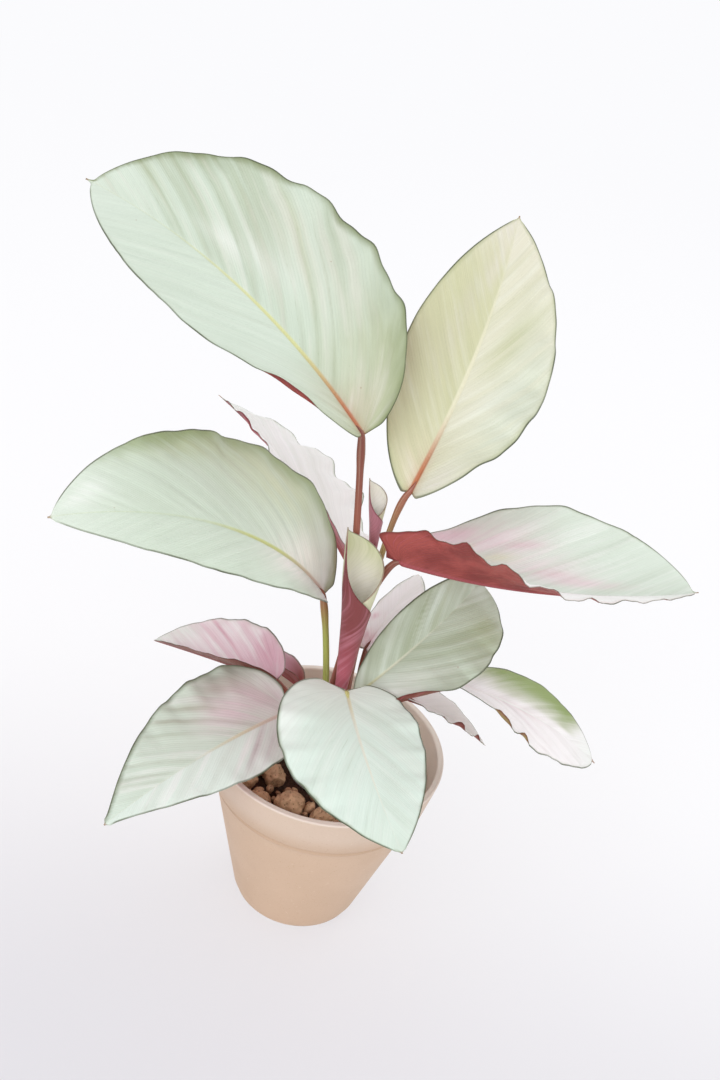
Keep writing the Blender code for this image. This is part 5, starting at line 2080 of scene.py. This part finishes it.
class CALATHEA_OT_stalks(bpy.types.Operator):
    """Grow a stalk to each leaf"""

    bl_idname = "calathea.stalks"
    bl_label = "Stalks"

    def execute(self, context):
        for number, stalk in enumerate(STALKS, start=1):
            build_stalk(stalk, context.scene.calathea_palette, number)
        return {"FINISHED"}


class CALATHEA_OT_blades(bpy.types.Operator):
    """Grow the open blades, each painted with its own look"""

    bl_idname = "calathea.blades"
    bl_label = "Open Leaves"

    def execute(self, context):
        scene = context.scene
        for number, blade in enumerate(BLADES, start=1):
            build_blade(blade, LOOKS[blade.name], scene.calathea_palette, scene.calathea_leaves, number)
        return {"FINISHED"}


class CALATHEA_OT_scrolls(bpy.types.Operator):
    """Grow the two young leaves that are still rolled up"""

    bl_idname = "calathea.scrolls"
    bl_label = "Rolled Leaves"

    def execute(self, context):
        scene = context.scene
        for number, scroll in enumerate(SCROLLS, start=1):
            build_scroll(scroll, scene.calathea_palette, scene.calathea_leaves, number)
        return {"FINISHED"}


class CALATHEA_OT_stage(bpy.types.Operator):
    """Set the floor, the soft light and the camera"""

    bl_idname = "calathea.stage"
    bl_label = "Stage"

    def execute(self, context):
        settings = context.scene.calathea_stage
        build_floor(settings)
        build_sky(settings)
        for name, place, share in LAMPS:
            add_lamp(name, place, share * settings.lamp)
        build_camera(settings)
        context.scene.view_settings.view_transform = "Standard"
        return {"FINISHED"}


class CALATHEA_PT_sidebar(bpy.types.Panel):
    """Lists the plant's pieces and the settings that they are made from."""

    bl_idname = "CALATHEA_PT_sidebar"
    bl_label = "Potted Calathea"
    bl_space_type = "VIEW_3D"
    bl_region_type = "UI"
    bl_category = "Calathea"

    def draw(self, context):
        for group, operators in SIDEBAR:
            box = self.layout.box()
            settings = getattr(context.scene, group)
            for name in settings.bl_rna.properties.keys():
                if name not in ("rna_type", "name"):
                    box.prop(settings, name)
            for operator in operators:
                box.operator(operator.bl_idname)


SIDEBAR = (
    ("calathea_pot", (CALATHEA_OT_pot, CALATHEA_OT_mix, CALATHEA_OT_stones)),
    ("calathea_palette", (CALATHEA_OT_crown, CALATHEA_OT_stalks)),
    ("calathea_leaves", (CALATHEA_OT_blades, CALATHEA_OT_scrolls)),
    ("calathea_stage", (CALATHEA_OT_stage,)),
)
SETTINGS = {
    "calathea_pot": CalatheaPotSettings,
    "calathea_palette": CalatheaPalette,
    "calathea_leaves": CalatheaLeafSettings,
    "calathea_stage": CalatheaStageSettings,
}
CLASSES = (
    *SETTINGS.values(),
    *(operator for _, operators in SIDEBAR for operator in operators),
    CALATHEA_PT_sidebar,
)


def register():
    for cls in CLASSES:
        bpy.utils.register_class(cls)
    for name, group in SETTINGS.items():
        setattr(bpy.types.Scene, name, bpy.props.PointerProperty(type=group))


def unregister():
    for name in SETTINGS:
        delattr(bpy.types.Scene, name)
    for cls in reversed(CLASSES):
        bpy.utils.unregister_class(cls)


def main():
    register()
    bpy.ops.calathea.pot()
    bpy.ops.calathea.mix()
    bpy.ops.calathea.stones()
    bpy.ops.calathea.crown()
    bpy.ops.calathea.stalks()
    bpy.ops.calathea.blades()
    bpy.ops.calathea.scrolls()
    bpy.ops.calathea.stage()


if __name__ == "__main__":
    main()
